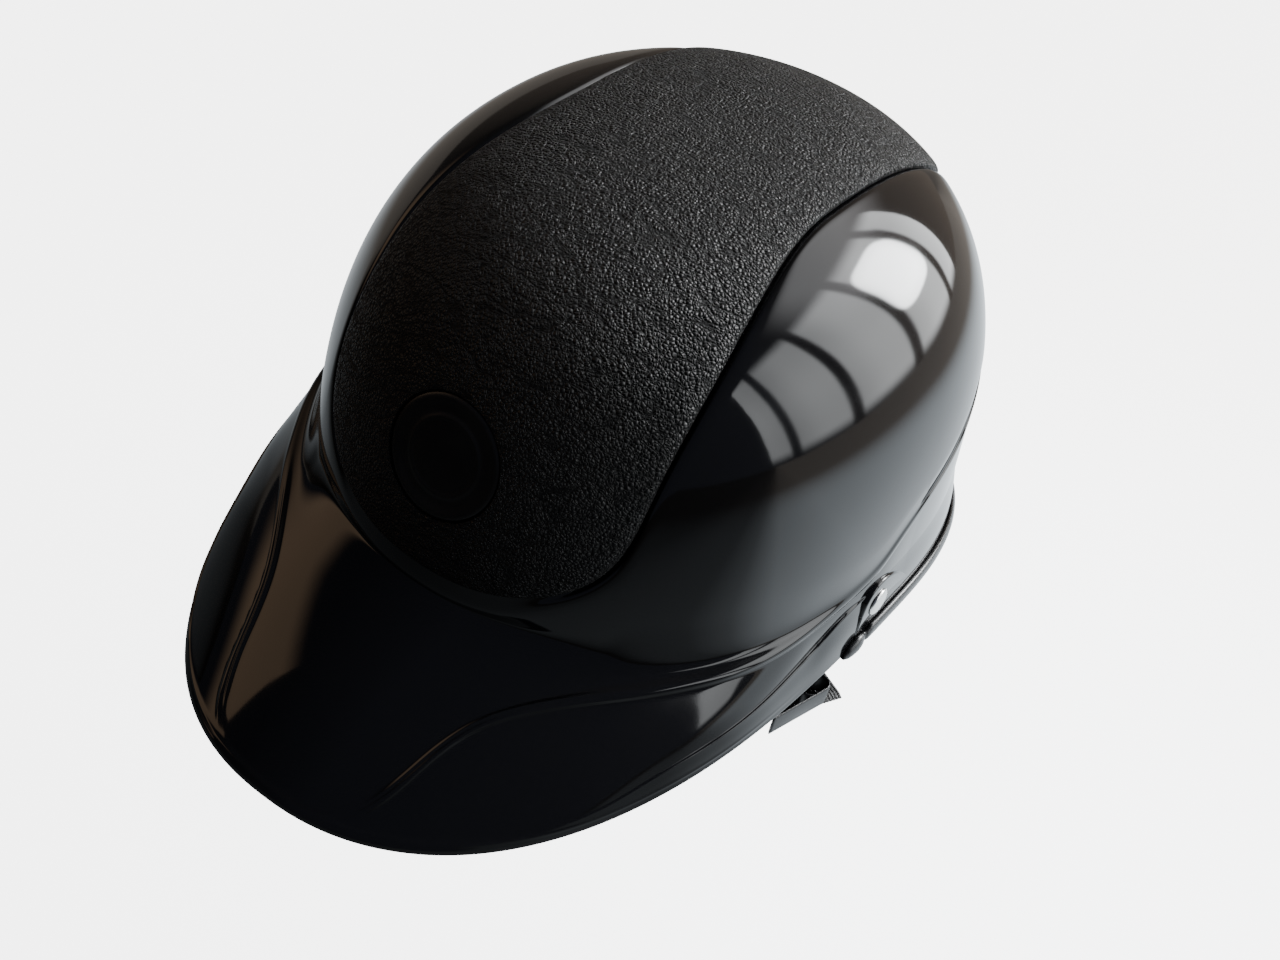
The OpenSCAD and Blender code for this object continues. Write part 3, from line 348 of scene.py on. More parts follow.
def rivet_pad_rings():
    """The raised pad's edge as [x, y, z] rings, from its root out to the flat."""
    poly = pad_outline()
    rings = []
    for d, x in PAD_EDGE:
        q = grown(poly, d)
        rings.append(np.stack([np.full(len(q), PAD_X + x), q[:, 0] + RIVET_Y, q[:, 1] + RIVET_Z], 1))
    return np.array(rings)


def new_object(name, data):
    ob = bpy.data.objects.new(name, data)
    bpy.context.scene.collection.objects.link(ob)
    return ob


def mesh_object(name, verts, faces, body, material):
    """A smooth mesh of points in millimetres, riding on a body."""
    me = bpy.data.meshes.new(name)
    me.from_pydata((np.asarray(verts, float) * MM).tolist(), [], faces)
    me.validate()
    me.materials.append(material)
    me.polygons.foreach_set("use_smooth", [True] * len(me.polygons))
    me.update()
    ob = new_object(name, me)
    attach(ob, body)
    return ob


def ring_faces(m, n, offset=0):
    """The quads between m rings of n points."""
    i, j = np.meshgrid(np.arange(m - 1), np.arange(n), indexing="ij")
    k = (j + 1) % n
    quads = np.stack([i * n + j, i * n + k, (i + 1) * n + k, (i + 1) * n + j], -1)
    return (quads.reshape(-1, 4) + offset).tolist()


def lofted(name, rings, first, last, body, material):
    """A closed body from a start point, rings (m, n, 3) and an end point."""
    m, n = rings.shape[:2]
    verts = np.vstack([[first], rings.reshape(-1, 3), [last]])
    faces = [[0, 1 + j, 1 + (j + 1) % n] for j in range(n)]
    faces += [f[::-1] for f in ring_faces(m, n, offset=1)]
    end = len(verts) - 1
    faces += [[end, end - n + (j + 1) % n, end - n + j] for j in range(n)]
    return mesh_object(name, verts, faces, body, material)


def swept(name, rings, body, material):
    """A body swept through rings (m, n, 3), with flat ends."""
    m, n = rings.shape[:2]
    faces = ring_faces(m, n) + [list(range(n))[::-1], [(m - 1) * n + j for j in range(n)]]
    return mesh_object(name, rings.reshape(-1, 3), faces, body, material)


# Materials
def material(name):
    m = bpy.data.materials.new(name)
    m.use_nodes = True
    return m, m.node_tree, m.node_tree.nodes["Principled BSDF"]


def plug(tree, value, socket):
    """Links a node's output to a socket, or sets a number, colour or vector on it."""
    if isinstance(value, bpy.types.NodeSocket):
        tree.links.new(value, socket)
    else:
        socket.default_value = value


def fill(tree, node, **inputs):
    for key, value in inputs.items():
        plug(tree, value, node.inputs[key.replace("_", " ")])
    return node


def add(tree, kind, **inputs):
    """A new shader node of a kind, with its inputs linked or set."""
    return fill(tree, tree.nodes.new("ShaderNode" + kind), **inputs)


def ramp(tree, source, stops, kind="LINEAR"):
    """A colour ramp of (position, grey or colour) stops."""
    node = add(tree, "ValToRGB")
    node.color_ramp.interpolation = kind
    while len(node.color_ramp.elements) < len(stops):
        node.color_ramp.elements.new(0.5)
    for e, (pos, v) in zip(node.color_ramp.elements, stops):
        e.position = pos
        e.color = (v, v, v, 1) if isinstance(v, (int, float)) else (*v, 1)
    return fill(tree, node, Fac=source).outputs["Color"]


def bump(tree, bsdf, sources):
    """Chains bumps of (height output, strength, distance in metres)."""
    node = None
    for height, strength, distance in sources:
        before = {"Normal": node.outputs["Normal"]} if node else {}
        node = add(tree, "Bump", Height=height, Strength=strength, Distance=distance, **before)
    fill(tree, bsdf, Normal=node.outputs["Normal"])


def coords(tree):
    return add(tree, "TexCoord").outputs["Object"]


def noise(tree, where, scale, detail, rough=0.5, distortion=0, output="Fac"):
    return add(tree, "TexNoise", Vector=where, Scale=scale, Detail=detail, Roughness=rough,
               Distortion=distortion).outputs[output]


def cells(tree, where, feature, scale, randomness):
    """The distance to a cell's edge, or with F1 to its middle."""
    node = add(tree, "TexVoronoi", Vector=where, Scale=scale, Randomness=randomness)
    node.feature = feature
    return node.outputs["Distance"]


def calc(tree, operation, *values, kind="Math"):
    node = add(tree, kind)
    node.operation = operation
    for value, socket in zip(values, node.inputs):
        plug(tree, value, socket)
    return node.outputs[0]


def product(tree, first, *others):
    for other in others:
        first = calc(tree, "MULTIPLY", first, other)
    return first


def plus(tree, first, second):
    return calc(tree, "ADD", first, second)


def from_middle(tree, value, middle):
    """How far a value is from a middle value, as a positive number."""
    return calc(tree, "ABSOLUTE", calc(tree, "SUBTRACT", value, middle))


def make_gloss():
    m, t, b = material("gloss_shell")
    where = coords(t)
    smear, fine = noise(t, where, 22, 4, 0.55, 0.6), noise(t, where, 900, 2)
    fill(t, b, Base_Color=(0.0035, 0.0035, 0.004, 1), IOR=1.5,
         Roughness=ramp(t, smear, [(0.3, 0.045), (0.7, 0.085)]))
    bump(t, b, [(smear, 0.04, 0.0006), (fine, 0.02, 0.00004)])
    return m


def make_leather():
    """Pebbled grain: small domed cells cut by creases that run across the panel, and a few broad folds. Its
    colour is darker in the grooves and creases and lighter on the dome tops, which is painted shade.
    """
    grain, sideways_stretch, waviness = 900, 0.32, 0.0013
    m, t, b = material("grained_panel")
    where = coords(t)
    shift = noise(t, where, 240, 2, output="Color")
    bent = calc(t, "MULTIPLY_ADD", shift, (waviness, waviness, waviness), where, kind="VectorMath")
    to_edge, to_middle = cells(t, bent, "DISTANCE_TO_EDGE", grain, 1), cells(t, bent, "F1", grain, 1)
    dome = calc(t, "SUBTRACT", 1, product(t, to_middle, to_middle, 1.1))
    broad = noise(t, where, 55, 3, 0.6, 1.2)
    fold_cut = ramp(t, from_middle(t, broad, 0.5), [(0, 0.45), (0.012, 0.85), (0.03, 1)], "EASE")
    stretched = calc(t, "MULTIPLY", where, (sideways_stretch, 1, 1), kind="VectorMath")
    crease = noise(t, stretched, 150, 2, 0.5, 0.5)
    crease_cut = ramp(t, from_middle(t, crease, 0.5), [(0, 0.08), (0.014, 0.5), (0.036, 1)], "EASE")
    groove = ramp(t, to_edge, [(0, 0), (0.05, 0.5), (0.13, 1)], "EASE")
    height = product(t, groove, dome, fold_cut, crease_cut)
    fine, patch = noise(t, where, 2600, 3), noise(t, where, 45, 3)
    # Base colour follows the grain's height: near black in the grooves and creases and lighter on the dome
    # tops, which is painted shade.
    fill(t, b, Base_Color=ramp(t, height, [(0, 0.001), (0.35, 0.004), (1, 0.0085)]), IOR=1.37,
         Roughness=ramp(t, height, [(0, 0.8), (0.5, 0.5), (1, 0.37)]))
    bump(t, b, [(patch, 0.3, 0.0008), (height, 1, 0.0008), (fine, 0.15, 0.00006)])
    return m


def make_matte(name, base, rough, grain, strength):
    """A matt surface with a fine grain and slightly cloudy colour."""
    m, t, b = material(name)
    where = coords(t)
    fine, cloud = noise(t, where, grain, 3), noise(t, where, 60, 3)
    dark = tuple(c * 0.7 for c in base)
    fill(t, b, Base_Color=ramp(t, cloud, [(0.3, dark), (0.7, base)]),
         Roughness=ramp(t, cloud, [(0.3, rough - 0.06), (0.7, rough + 0.06)]))
    bump(t, b, [(fine, strength, 0.0001)])
    return m


def make_steel():
    m, t, b = material("steel")
    fine = noise(t, coords(t), 800, 3)
    fill(t, b, Metallic=1, Base_Color=(0.78, 0.78, 0.77, 1),
         Roughness=ramp(t, fine, [(0.3, 0.16), (0.7, 0.3)]))
    bump(t, b, [(fine, 0.1, 0.00005)])
    return m


def make_foam():
    """Moulded foam beads, with colour darker in the grooves between them, which is painted shade."""
    m, t, b = material("foam")
    to_edge = cells(t, coords(t), "DISTANCE_TO_EDGE", 330, 0.8)
    bead = ramp(t, to_edge, [(0, 0), (0.12, 0.8), (0.3, 1)], "EASE")
    # The colour darkens towards each bead's edge, in the grooves between beads, which is painted shade.
    colour = ramp(t, bead, [(0, (0.02, 0.02, 0.022)), (1, (0.055, 0.055, 0.06))])
    fill(t, b, Base_Color=colour, Roughness=0.7)
    bump(t, b, [(bead, 0.5, 0.0003)])
    return m


def make_cloth(name, base):
    """Knitted cloth with a soft nap."""
    m, t, b = material(name)
    where = coords(t)
    knit = cells(t, where, "F1", 1500, 0.35)
    fuzz, cloud = noise(t, where, 3500, 3), noise(t, where, 90, 3)
    dark = tuple(c * 0.55 for c in base)
    fill(t, b, Base_Color=ramp(t, cloud, [(0.3, dark), (0.7, base)]), Roughness=0.9, Sheen_Weight=0.25)
    bump(t, b, [(knit, 0.5, 0.00025), (fuzz, 0.3, 0.0001)])
    return m


GLOSS = make_gloss()
LEATHER = make_leather()
DISC = make_matte("matte_disc", (0.004, 0.004, 0.0042), 0.4, 700, 0.06)
RUBBER = make_matte("trim_rubber", (0.012, 0.012, 0.013), 0.3, 900, 0.08)
PLASTIC = make_matte("buckle_plastic", (0.014, 0.014, 0.015), 0.38, 1100, 0.2)
WEB = make_matte("webbing", (0.010, 0.010, 0.011), 0.62, 2600, 0.5)
TAPE = make_matte("tape", (0.013, 0.013, 0.014), 0.4, 2200, 0.3)
STEEL = make_steel()
FOAM = make_foam()
CLOTH = make_cloth("pad_cloth", (0.022, 0.022, 0.024))

# Shell
shell_rings = np.vstack([outer_rows(AROUND), inner_rows(AROUND)])
seat_top = CROWN_H - SEAT_D
shell = lofted("shell", shell_rings, [0, CY, seat_top], [0, CY, seat_top - SHELL_T],
               "helmet", GLOSS)
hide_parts("outer_shell")


def append(ob, points, faces, outward=False):
    """Adds points in millimetres and their smooth faces to an object's mesh."""
    bm = bmesh.new()
    bm.from_mesh(ob.data)
    new = [bm.verts.new(p * MM) for p in points]
    for f in faces:
        bm.faces.new([new[i] for i in f]).smooth = True
    if outward:
        bmesh.ops.recalc_face_normals(bm, faces=bm.faces)
    bm.to_mesh(ob.data)
    bm.free()


def add_rivet_pads(ob):
    """Joins the two raised rivet pads, each an edge and a flat, to the shell's mesh."""
    for side in (1, -1):
        rings = rivet_pad_rings() * (side, 1, 1)
        m, n = rings.shape[:2]
        flat = (m - 1) * n
        quads = [[flat + j, flat + j + 1, flat + n - 2 - j, flat + n - 1 - j] for j in range(n // 2 - 1)]
        append(ob, rings.reshape(-1, 3), [quad[::side] for quad in ring_faces(m, n) + quads])


add_rivet_pads(shell)


def make_panel(a):
    """The crown panel's rings, with its edge rolled down into the groove."""
    lat, mm = at(panel_lat, a), at(per_mm, a)
    flat = lat - mm * 7
    rows = [crown(a, flat * (k / 40) ** 0.8, -PROUD) for k in range(1, 41)]
    edge = [(6, -0.49), (5, -0.46), (4, -0.4), (3.1, -0.3), (2.4, -0.16), (1.8, 0.05), (1.35, 0.32),
            (1.0, 0.7), (0.8, 1.2), (0.7, 1.95)]
    rows += [crown(a, lat - mm * s, d) for s, d in edge]
    rows += [crown(a, lat * k / 6, SEAT_D - PANEL_GAP) for k in range(5, 0, -1)]
    return place(a, *halves(rows))


panel_bottom = CROWN_H - SEAT_D + PANEL_GAP
panel = lofted("crown_cover", make_panel(AROUND), [0, CY, CROWN_H + PROUD], [0, CY, panel_bottom],
               "helmet", LEATHER)
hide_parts("crown_panel")

# The emblem's middle on the crown, and its own directions
emblem_lat = float(lat_at_height(EMBLEM_Z))
emblem_mid = crown_point(0, emblem_lat, 0)
emblem_up = unit(crown_point(0, emblem_lat - 0.5, 0) - crown_point(0, emblem_lat + 0.5, 0))
emblem_right = np.array([1.0, 0, 0])
emblem_out = np.cross(emblem_right, emblem_up)
turns = -np.radians(np.arange(0, 360, 2.5))


def on_emblem(r, turn, d):
    """Points at radius r and angle turn about the emblem's axis, at depth d along it below the crown."""
    right, up = (r * np.sin(turn))[..., None], (r * np.cos(turn))[..., None]
    base = emblem_mid + right * emblem_right + up * emblem_up
    low, high = np.full(r.shape, -30.0), np.full(r.shape, 8.0)
    for _ in range(36):
        mid = (low + high) / 2
        p = base + mid[..., None] * emblem_out
        x, y, z = p[..., 0], CY - p[..., 1], p[..., 2]
        side = np.hypot(x, y) / crown_radius(np.degrees(np.arctan2(x, y)), 0)
        climb = np.maximum(z - BELT, 0) / (CROWN_H - BELT)
        inside = side ** SIDE_N + climb ** SIDE_N < 1
        low, high = np.where(inside, mid, low), np.where(inside, high, mid)
    return base + ((low + high) / 2 - d)[..., None] * emblem_out


def cut_emblem_hole(piece):
    """Cuts the round hole for the emblem through a piece."""
    n = len(turns)
    rim = np.sin(turns)[:, None] * emblem_right + np.cos(turns)[:, None] * emblem_up
    rings = np.stack([emblem_mid + (EMBLEM_R + EMBLEM_GAP) * rim + h * emblem_out for h in (-9, 7)])
    me = bpy.data.meshes.new("cut")
    ends = [list(range(n))[::-1], list(range(n, 2 * n))]
    me.from_pydata((rings.reshape(-1, 3) * MM).tolist(), [], ring_faces(2, n) + ends)
    cutter = new_object("cut", me)
    hole = piece.modifiers.new("hole", "BOOLEAN")
    hole.operation, hole.solver, hole.object = "DIFFERENCE", "EXACT", cutter
    bpy.context.view_layer.update()
    done = bpy.data.meshes.new_from_object(piece.evaluated_get(bpy.context.evaluated_depsgraph_get()))
    piece.modifiers.clear()
    piece.data = done
    bpy.data.objects.remove(cutter)


cut_emblem_hole(panel)

# Emblem dish as [share of its radius, depth]: a rounded rim, a shallow bowl and one plain raised ring
DISH = [(0.0, 1.22), (0.15, 1.2), (0.3, 1.16), (0.45, 1.08), (0.54, 1.0), (0.57, 0.93), (0.595, 0.74),
        (0.62, 0.68), (0.645, 0.72), (0.67, 0.84), (0.7, 0.82), (0.75, 0.7), (0.8, 0.5), (0.85, 0.22),
        (0.89, 0.0), (0.92, -0.12), (0.95, -0.14), (0.975, -0.04), (0.99, 0.2), (1.0, 0.8)]
UNDERSIDE = [(1.0, EMBLEM_UNDER), (0.5, EMBLEM_UNDER)]
dish_rings = [on_emblem(np.full(len(turns), EMBLEM_R * s), turns, d) for s, d in DISH[1:] + UNDERSIDE]
dish_top, dish_bottom = [on_emblem(np.zeros(1), np.zeros(1), d)[0] for d in (DISH[0][1], EMBLEM_UNDER)]
dish = lofted("emblem_disc", np.stack(dish_rings), dish_top, dish_bottom, "helmet", DISC)
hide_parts("emblem_dish")

# Edge trim: shares of its height and thickness by degrees past its end, which stands up as a small leaf
TRIM_UP = [[0, 0.3], [0.8, 0.72], [1.6, 0.92], [3.4, 1.12], [5, 0.95], [6.1, 0.66], [6.6, 0.72], [8, 1]]
TRIM_THICK = [[0, 0.45], [1.2, 1.0], [3.4, 1.32], [5, 1.1], [6.1, 0.55], [6.6, 0.85], [8, 1]]


def outer_radius_at(a, up):
    """Radius of the skirt at a height above the rim, in each direction."""
    r, z = halves(skirt(a, [1 - 0.02 * k for k in range(16)]))
    z = z - at(rim_level, a)
    return np.array([np.interp(up[i], z[:, i], r[:, i]) for i in range(len(a))])


def trim_rings():
    """The trim's section in each direction: a bulb outside the rim, a lip inside it and the slot between."""
    a = AROUND[(AROUND > TRIM_END) & (AROUND < 360 - TRIM_END)]
    past = np.minimum(fold(a) - TRIM_END, 8)
    h, t = 0.74 * TRIM_H * curve(TRIM_UP, past), TRIM_T * curve(TRIM_THICK, past)
    z = at(rim_level, a)
    outer = rim_radius(a) + TRIM_GAP
    inner = rim_radius(a) - LIP - TRIM_GAP
    lean = outer_radius_at(a, h) + TRIM_GAP * 1.6 - outer
    section = []
    for k in range(13):
        up = (1 + cos(pi * k / 12)) / 2
        swell = 0.12 + t * (0.06 + sin(pi * min(k, 11) / 12) ** 0.7)
        section.append((outer_radius_at(a, h * up) + swell, z - t * 0.8 + (h + t * 0.8) * up))
    section += [(outer, z - t), (inner, z - t), (inner - t * 0.55, z - t * 0.88),
                (inner - t * 0.9, z - t / 2), (inner - t, z), (inner - t + lean * 0.7, z + h * 0.6),
                (inner - t + lean, z + h - 1.2), (inner - t / 2 + lean, z + h - 0.8),
                (inner + lean, z + h - 1), (inner + lean / 2, z + h * 0.4), (inner, z - 0.15),
                (outer, z - 0.15), (outer_radius_at(a, h / 2) + TRIM_GAP, z + h / 2)]
    return np.stack([place(a, r, height) for r, height in section], 1)


trim = swept("edge_rubber", trim_rings(), "helmet", RUBBER)
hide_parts("edge_trim")

# Domed rivet head as (radius, height), then the whole rivet as (radius, distance from the middle plane)
HEAD = [(0, 1.5), (1.5, 1.48), (2.8, 1.4), (3.7, 1.24), (4.4, 0.98), (4.8, 0.66), (HEAD_R, 0.3), (4.95, 0)]
RIVET = [(r, PAD_X + x) for r, x in HEAD]
RIVET += [(RIVET_R, PAD_X), (RIVET_R, 91.5), (3.5, 91.5), (3.55, 91), (2.85, 90), (2.2, 89.8), (0, 89.8)]


def rivet_ring(side, r, x):
    t = np.radians(np.arange(0, 360, 5))[::side]
    return np.stack([np.full(len(t), side * x), RIVET_Y + r * np.cos(t), RIVET_Z + r * np.sin(t)], -1)


for side, name in ((1, "left_rivet"), (-1, "right_rivet")):
    rings = np.stack([rivet_ring(side, r, x) for r, x in RIVET[1:-1]])
    first, last = [[side * x, RIVET_Y, RIVET_Z] for r, x in (RIVET[0], RIVET[-1])]
    rivet = lofted(name + "_head", rings, first, last, "helmet", STEEL)
    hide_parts(name)

# Straps: the same route as the solids have. A strap's s runs along the stored part, from where it comes down
# beside the helmet towards the peak, LIE degrees off straight ahead. LOW and HIGH are its two layers.
LIE, TAB_TILT = 26, 45
lie_sin, lie_cos = sin(radians(LIE)), cos(radians(LIE))
lie_dir = np.array([-lie_sin, -lie_cos, 0])
lie_across = np.array([-lie_cos, lie_sin, 0])
FLOOR_GAP, LAYER_GAP, BAR_GAP = 0.3, 0.6, 0.15
LOW = FLOOR_GAP + WEB_T / 2
HIGH = LOW + WEB_T + LAYER_GAP
TOUCH_IN, TOUCH_AHEAD = 21.3, 58
touch = np.array([RIM_HALF - TOUCH_IN, CY - TOUCH_AHEAD, 0])
ADJUSTER_S, ADJUSTER_HALF, ARCH, BAR_S, BAR_R = 24, 8, 3.2, 50, 1.3
BAR_Z = FLOOR_GAP + WEB_T + BAR_R + BAR_GAP
TAIL_S, RIGHT_BAR_S, RIGHT_TAIL_S = -36.5, 34, 4
RISE_S, RIGHT_RISE_S = ADJUSTER_S + 12, 14
EYELET_OUT, FLANGE_T, FLANGE_GAP, FOLD_GAP = 97.85, 0.6, 0.05, 0.15
layer_out = EYELET_OUT - FLANGE_T - FLANGE_GAP - WEB_T / 2
fold_r = (WEB_T + FOLD_GAP) / 2
layer_in = layer_out - 2 * fold_r
hang = np.array([0, -sin(radians(TAB_TILT)), -cos(radians(TAB_TILT))])
hang_across = np.array([0, -cos(radians(TAB_TILT)), sin(radians(TAB_TILT))])
rivet_mid = np.array([0, RIVET_Y, RIVET_Z])


def lie(s, z):
    return touch + lie_dir * s + np.array([0, 0, z])


def arch(s):
    """How far the webbing rises over the adjuster's middle bar."""
    past = abs(s - ADJUSTER_S)
    return 0.0 if past > ADJUSTER_HALF else ARCH * (1 + cos(pi * past / ADJUSTER_HALF)) / 2


def tab_stops():
    """Stops of the doubled tab at the rivet and of the stretch that comes down to the stored part."""
    x = np.array([1.0, 0, 0])
    tab_end, fold_at, pull = 14, 9, 66
    stops = [(layer_out * x + rivet_mid + hang * k, hang_across) for k in np.linspace(13, -fold_at, 12)]
    for t in np.radians(np.arange(20, 180, 20)):
        across_fold = (layer_in + fold_r + fold_r * cos(t)) * x
        stops.append((across_fold + rivet_mid - hang * (fold_at + fold_r * sin(t)), hang_across))
    inner_layer = np.linspace(-fold_at, tab_end, 14)
    stops += [(layer_in * x + rivet_mid + hang * k, hang_across) for k in inner_layer]
    p0, p1 = layer_in * x + rivet_mid + hang * tab_end, lie(0, HIGH)

    def point(t):
        bow = np.array([-6 * sin(pi * t) ** 2, 0, 0])
        return (bow + p0 * (1 + 2 * t) * (1 - t) ** 2 + hang * pull * t * (1 - t) ** 2
                + p1 * t * t * (3 - 2 * t) + lie_dir * pull * t * t * (t - 1))

    for t in np.linspace(0, 1, 42)[1:-1]:
        fwd = unit(point(t + 0.01) - point(t - 0.01))
        stops.append((point(t), square_to(mix(hang_across, lie_across, ease(t * 1.15)), fwd)))
    return stops


def route(rise_s, bar_s, tail_s, lift):
    """A strap's stops, each as the point and the direction across: tab, upper layer, bar and lower layer."""
    r = BAR_R + BAR_GAP + WEB_T / 2
    stops = [(s, HIGH + lift(s)) for s in np.arange(0, rise_s + 0.1, 0.5)]
    stops += [(mix(rise_s, bar_s, k), mix(HIGH, BAR_Z + r, ease(k))) for k in np.arange(1, 13) / 12]
    stops += [(bar_s + r * cos(t), BAR_Z + r * sin(t)) for t in np.radians(np.arange(80, -81, -10))]
    stops += [(s, LOW + lift(s)) for s in np.arange(bar_s, tail_s - 0.1, -0.5)]
    return tab_stops() + [(lie(s, z), lie_across) for s, z in stops]


def ribbon(name, stops, side, body):
    """Ribbed webbing along its stops: ribs run across it, and its edges are thinner."""
    sample, rib_pitch, rib_depth, edge_share = 0.2, 1.25, 0.22, 0.35
    p, c = halves(stops)
    length = np.concatenate([[0], np.cumsum(np.linalg.norm(np.diff(p, axis=0), axis=1))])
    s = np.linspace(0, length[-1], int(length[-1] / sample))
    p, c = [np.stack([np.interp(s, length, v[:, k]) for k in range(3)], 1) for v in (p, c)]
    for v in (p, c) * 6:
        v[1:-1] = 0.5 * v[1:-1] + 0.25 * (v[:-2] + v[2:])
    fwd = unit(np.gradient(p, axis=0))
    c = square_to(c, fwd)
    up = np.cross(c, fwd)
    rib = 0.5 + 0.5 * np.cos(2 * pi * s / rib_pitch)
    half = WEB_T / 2 - rib_depth * (1 - rib) ** 0.8
    w = WEB_W / 2 - 0.05 - 0.12 * (1 - rib)

    def line(u, face):
        """One line along the webbing at share u of its half width; both faces meet at the edges."""
        edge = max(0.0, 1 - abs(u) ** 14) ** 0.5
        thick = half * mix(edge_share, 1, edge) * (face if edge > 0 else 1)
        return p + c * (w * u)[:, None] + up * thick[:, None]

    shares = np.linspace(-1, 1, 11)
    pts = np.stack([line(u, 1) for u in shares] + [line(u, -1) for u in shares[::-1]], 1)
    if side < 0:
        pts[..., 0] *= -1
        pts = pts[:, ::-1]
    return swept(name, pts, body, WEB)


left_route = route(RISE_S, BAR_S, TAIL_S, arch)
left_web = ribbon("left_strap_webbing", left_route, 1, "left_strap")
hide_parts("left_webbing")
right_route = route(RIGHT_RISE_S, RIGHT_BAR_S, RIGHT_TAIL_S, lambda s: 0)
right_web = ribbon("right_strap_webbing", right_route, -1, "right_strap")
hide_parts("right_webbing")


def keeper():
    """The keeper loop's rings: a band of tape standing on the tail, a flat loop with one long end."""
    turn, half_l, half_w, tape, width, long_end = radians(78), 6.0, 3.8, 0.8, 8.0, 22
    b = half_w - tape / 2
    straight = half_l - half_w
    path = [(straight + b * cos(t), b * sin(t)) for t in np.linspace(-pi / 2, pi / 2, 25)]
    path += [(-straight + b * cos(t), b * sin(t)) for t in np.linspace(pi / 2, 3 * pi / 2, 25)]
    path += [(x, -b) for x in np.linspace(-straight, long_end, 30)[1:]]
    p = np.array(path)
    fwd = unit(np.gradient(p, axis=0))
    side = np.stack([-fwd[:, 1], fwd[:, 0]], 1)
    base = LOW + WEB_T / 2 + 0.1
    half_section = [(0.25, 0), (0.5, 0.12), (0.5, 0.5), (0.5, 0.88), (0.25, 1)]
    section = half_section + [(-o, u) for o, u in half_section[::-1]]
    middle_s, turn_at = -24.3, 7.6
    mid = lie(middle_s, 0)
    rings = []
    for o, u in section:
        q = p + side * (o * tape * mix(0.8, 1, 1 - abs(2 * u - 1) ** 4))
        x = turn_at + q[:, 0] * cos(turn) - q[:, 1] * sin(turn)
        y = q[:, 0] * sin(turn) + q[:, 1] * cos(turn)
        along = mid[0] + x * lie_cos - y * lie_sin
        ahead = mid[1] - x * lie_sin - y * lie_cos
        rings.append(np.stack([along, ahead, np.full(len(x), base + u * width)], 1))
    return np.stack(rings, 1)


loop = swept("keeper_tape", keeper(), "left_strap", TAPE)
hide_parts("keeper_loop")

# Foam liner: height of its lower edge by direction, and the depths of its two sides
LINER_EDGE = [[0, 49], [40, 47], [60, 49], [80, 52], [100, 46], [130, 26], [150, 18], [180, 17]]
LINER_OUT = SHELL_T + SEAT_D + LINER_GAP
LINER_IN = LINER_OUT + LINER_T


def liner():
    """The liner's rings: its outer side, a rounded lower edge and its inner side."""
    a = np.arange(0, 360, 1.5)
    z = at(field(LINER_EDGE, 2), a)
    low = np.maximum(z, BELT)
    lat_out, lat_in = lat_at_height(low + 6, LINER_OUT), lat_at_height(low + 2, LINER_IN)
    belt_out, belt_in = crown_radius(a, LINER_OUT), crown_radius(a, LINER_IN)
    r_out, r_in = crown(a, lat_out, LINER_OUT)[0], crown(a, lat_in, LINER_IN)[0]
    rows = [crown(a, lat_out * k / 18, LINER_OUT) for k in range(1, 19)]
    rows += [(mix(r_out, belt_out, 0.5), z + 2.5), (mix(r_out, belt_out, 0.65) - 0.6, z + 0.8),
             (belt_out - 2.6, z), (belt_in + 3.4, z), (belt_in + 1.6, z + 0.9),
             (mix(r_in, belt_in, 0.4), z + 2.6)]
    rows += [crown(a, lat_in * k / 18, LINER_IN) for k in range(18, 0, -1)]
    return place(a, *halves(rows))


foam = lofted("foam_lining", liner(), [0, CY, CROWN_H - LINER_OUT], [0, CY, CROWN_H - LINER_IN],
              "helmet", FOAM)
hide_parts("foam_liner")

# Comfort pads: sewn cushions, blown up by a short cloth simulation. They start thinner, as it swells them.
DOT_T, DOT_GAP, CROWN_DOT_GAP, BACK_GAP, PAD_T, PAD_MIN = 0.9, 1.7, 1.1, 0.3, 7, 1.6
PAD_BACK = LINER_IN + DOT_GAP + DOT_T + BACK_GAP
CROWN_BACK = LINER_IN + CROWN_DOT_GAP + DOT_T + BACK_GAP
FILL = (PAD_T - PAD_MIN) * 0.8
CHANNEL_W, CHANNEL_DEPTH, STITCH_W = 9, 0.58, 1.0
SWELL_CAP, PIPING_R = 2.4, 0.75


def blown_up(ob, seam):
    """Lets pressure fill the cushion between its seams; no point moves more than SWELL_CAP."""
    group = ob.vertex_groups.new(name="seam")
    for i, w in enumerate(seam):
        if w > 0.01:
            group.add([i], float(min(w, 1)), "REPLACE")
    mod = ob.modifiers.new("cloth", "CLOTH")
    st = mod.settings
    st.quality, st.mass = 6, 0.12
    st.tension_stiffness = st.compression_stiffness = 12
    st.shear_stiffness, st.bending_stiffness = 4, 0.3
    st.vertex_group_mass = "seam"
    st.use_pressure, st.uniform_pressure_force = True, 4.0
    st.effector_weights.gravity = 0
    scene = bpy.context.scene
    mod.point_cache.frame_start, mod.point_cache.frame_end = 1, 20
    for k in range(1, 21):
        scene.frame_set(k)
    shape = ob.evaluated_get(bpy.context.evaluated_depsgraph_get()).to_mesh()
    new, old = np.empty(len(shape.vertices) * 3), np.empty(len(ob.data.vertices) * 3)
    shape.vertices.foreach_get("co", new)
    ob.data.vertices.foreach_get("co", old)
    step = (new - old).reshape(-1, 3)
    far = np.linalg.norm(step, axis=1)[:, None]
    step *= np.minimum(1, SWELL_CAP * MM / np.maximum(far, 1e-9))
    ob.modifiers.remove(mod)
    ob.vertex_groups.clear()
    ob.data.vertices.foreach_set("co", old + step.ravel())
    ob.data.update()
    scene.frame_set(1)


def piping(points):
    """A thin round cord along a closed line of points: its vertices and faces."""
    fwd = unit(np.roll(points, -1, 0) - np.roll(points, 1, 0))
    side = square_to(points - points.mean(0), fwd)
    up = np.cross(fwd, side)
    m, n = len(points), 8
    t = np.linspace(0, 2 * pi, n, endpoint=False)[None, :, None]
    rings = points[:, None] + PIPING_R * (np.cos(t) * side[:, None] + np.sin(t) * up[:, None])
    start = (m - 1) * n
    faces = ring_faces(m, n) + [[start + j, start + (j + 1) % n, (j + 1) % n, j] for j in range(n)]
    return rings.reshape(-1, 3), faces


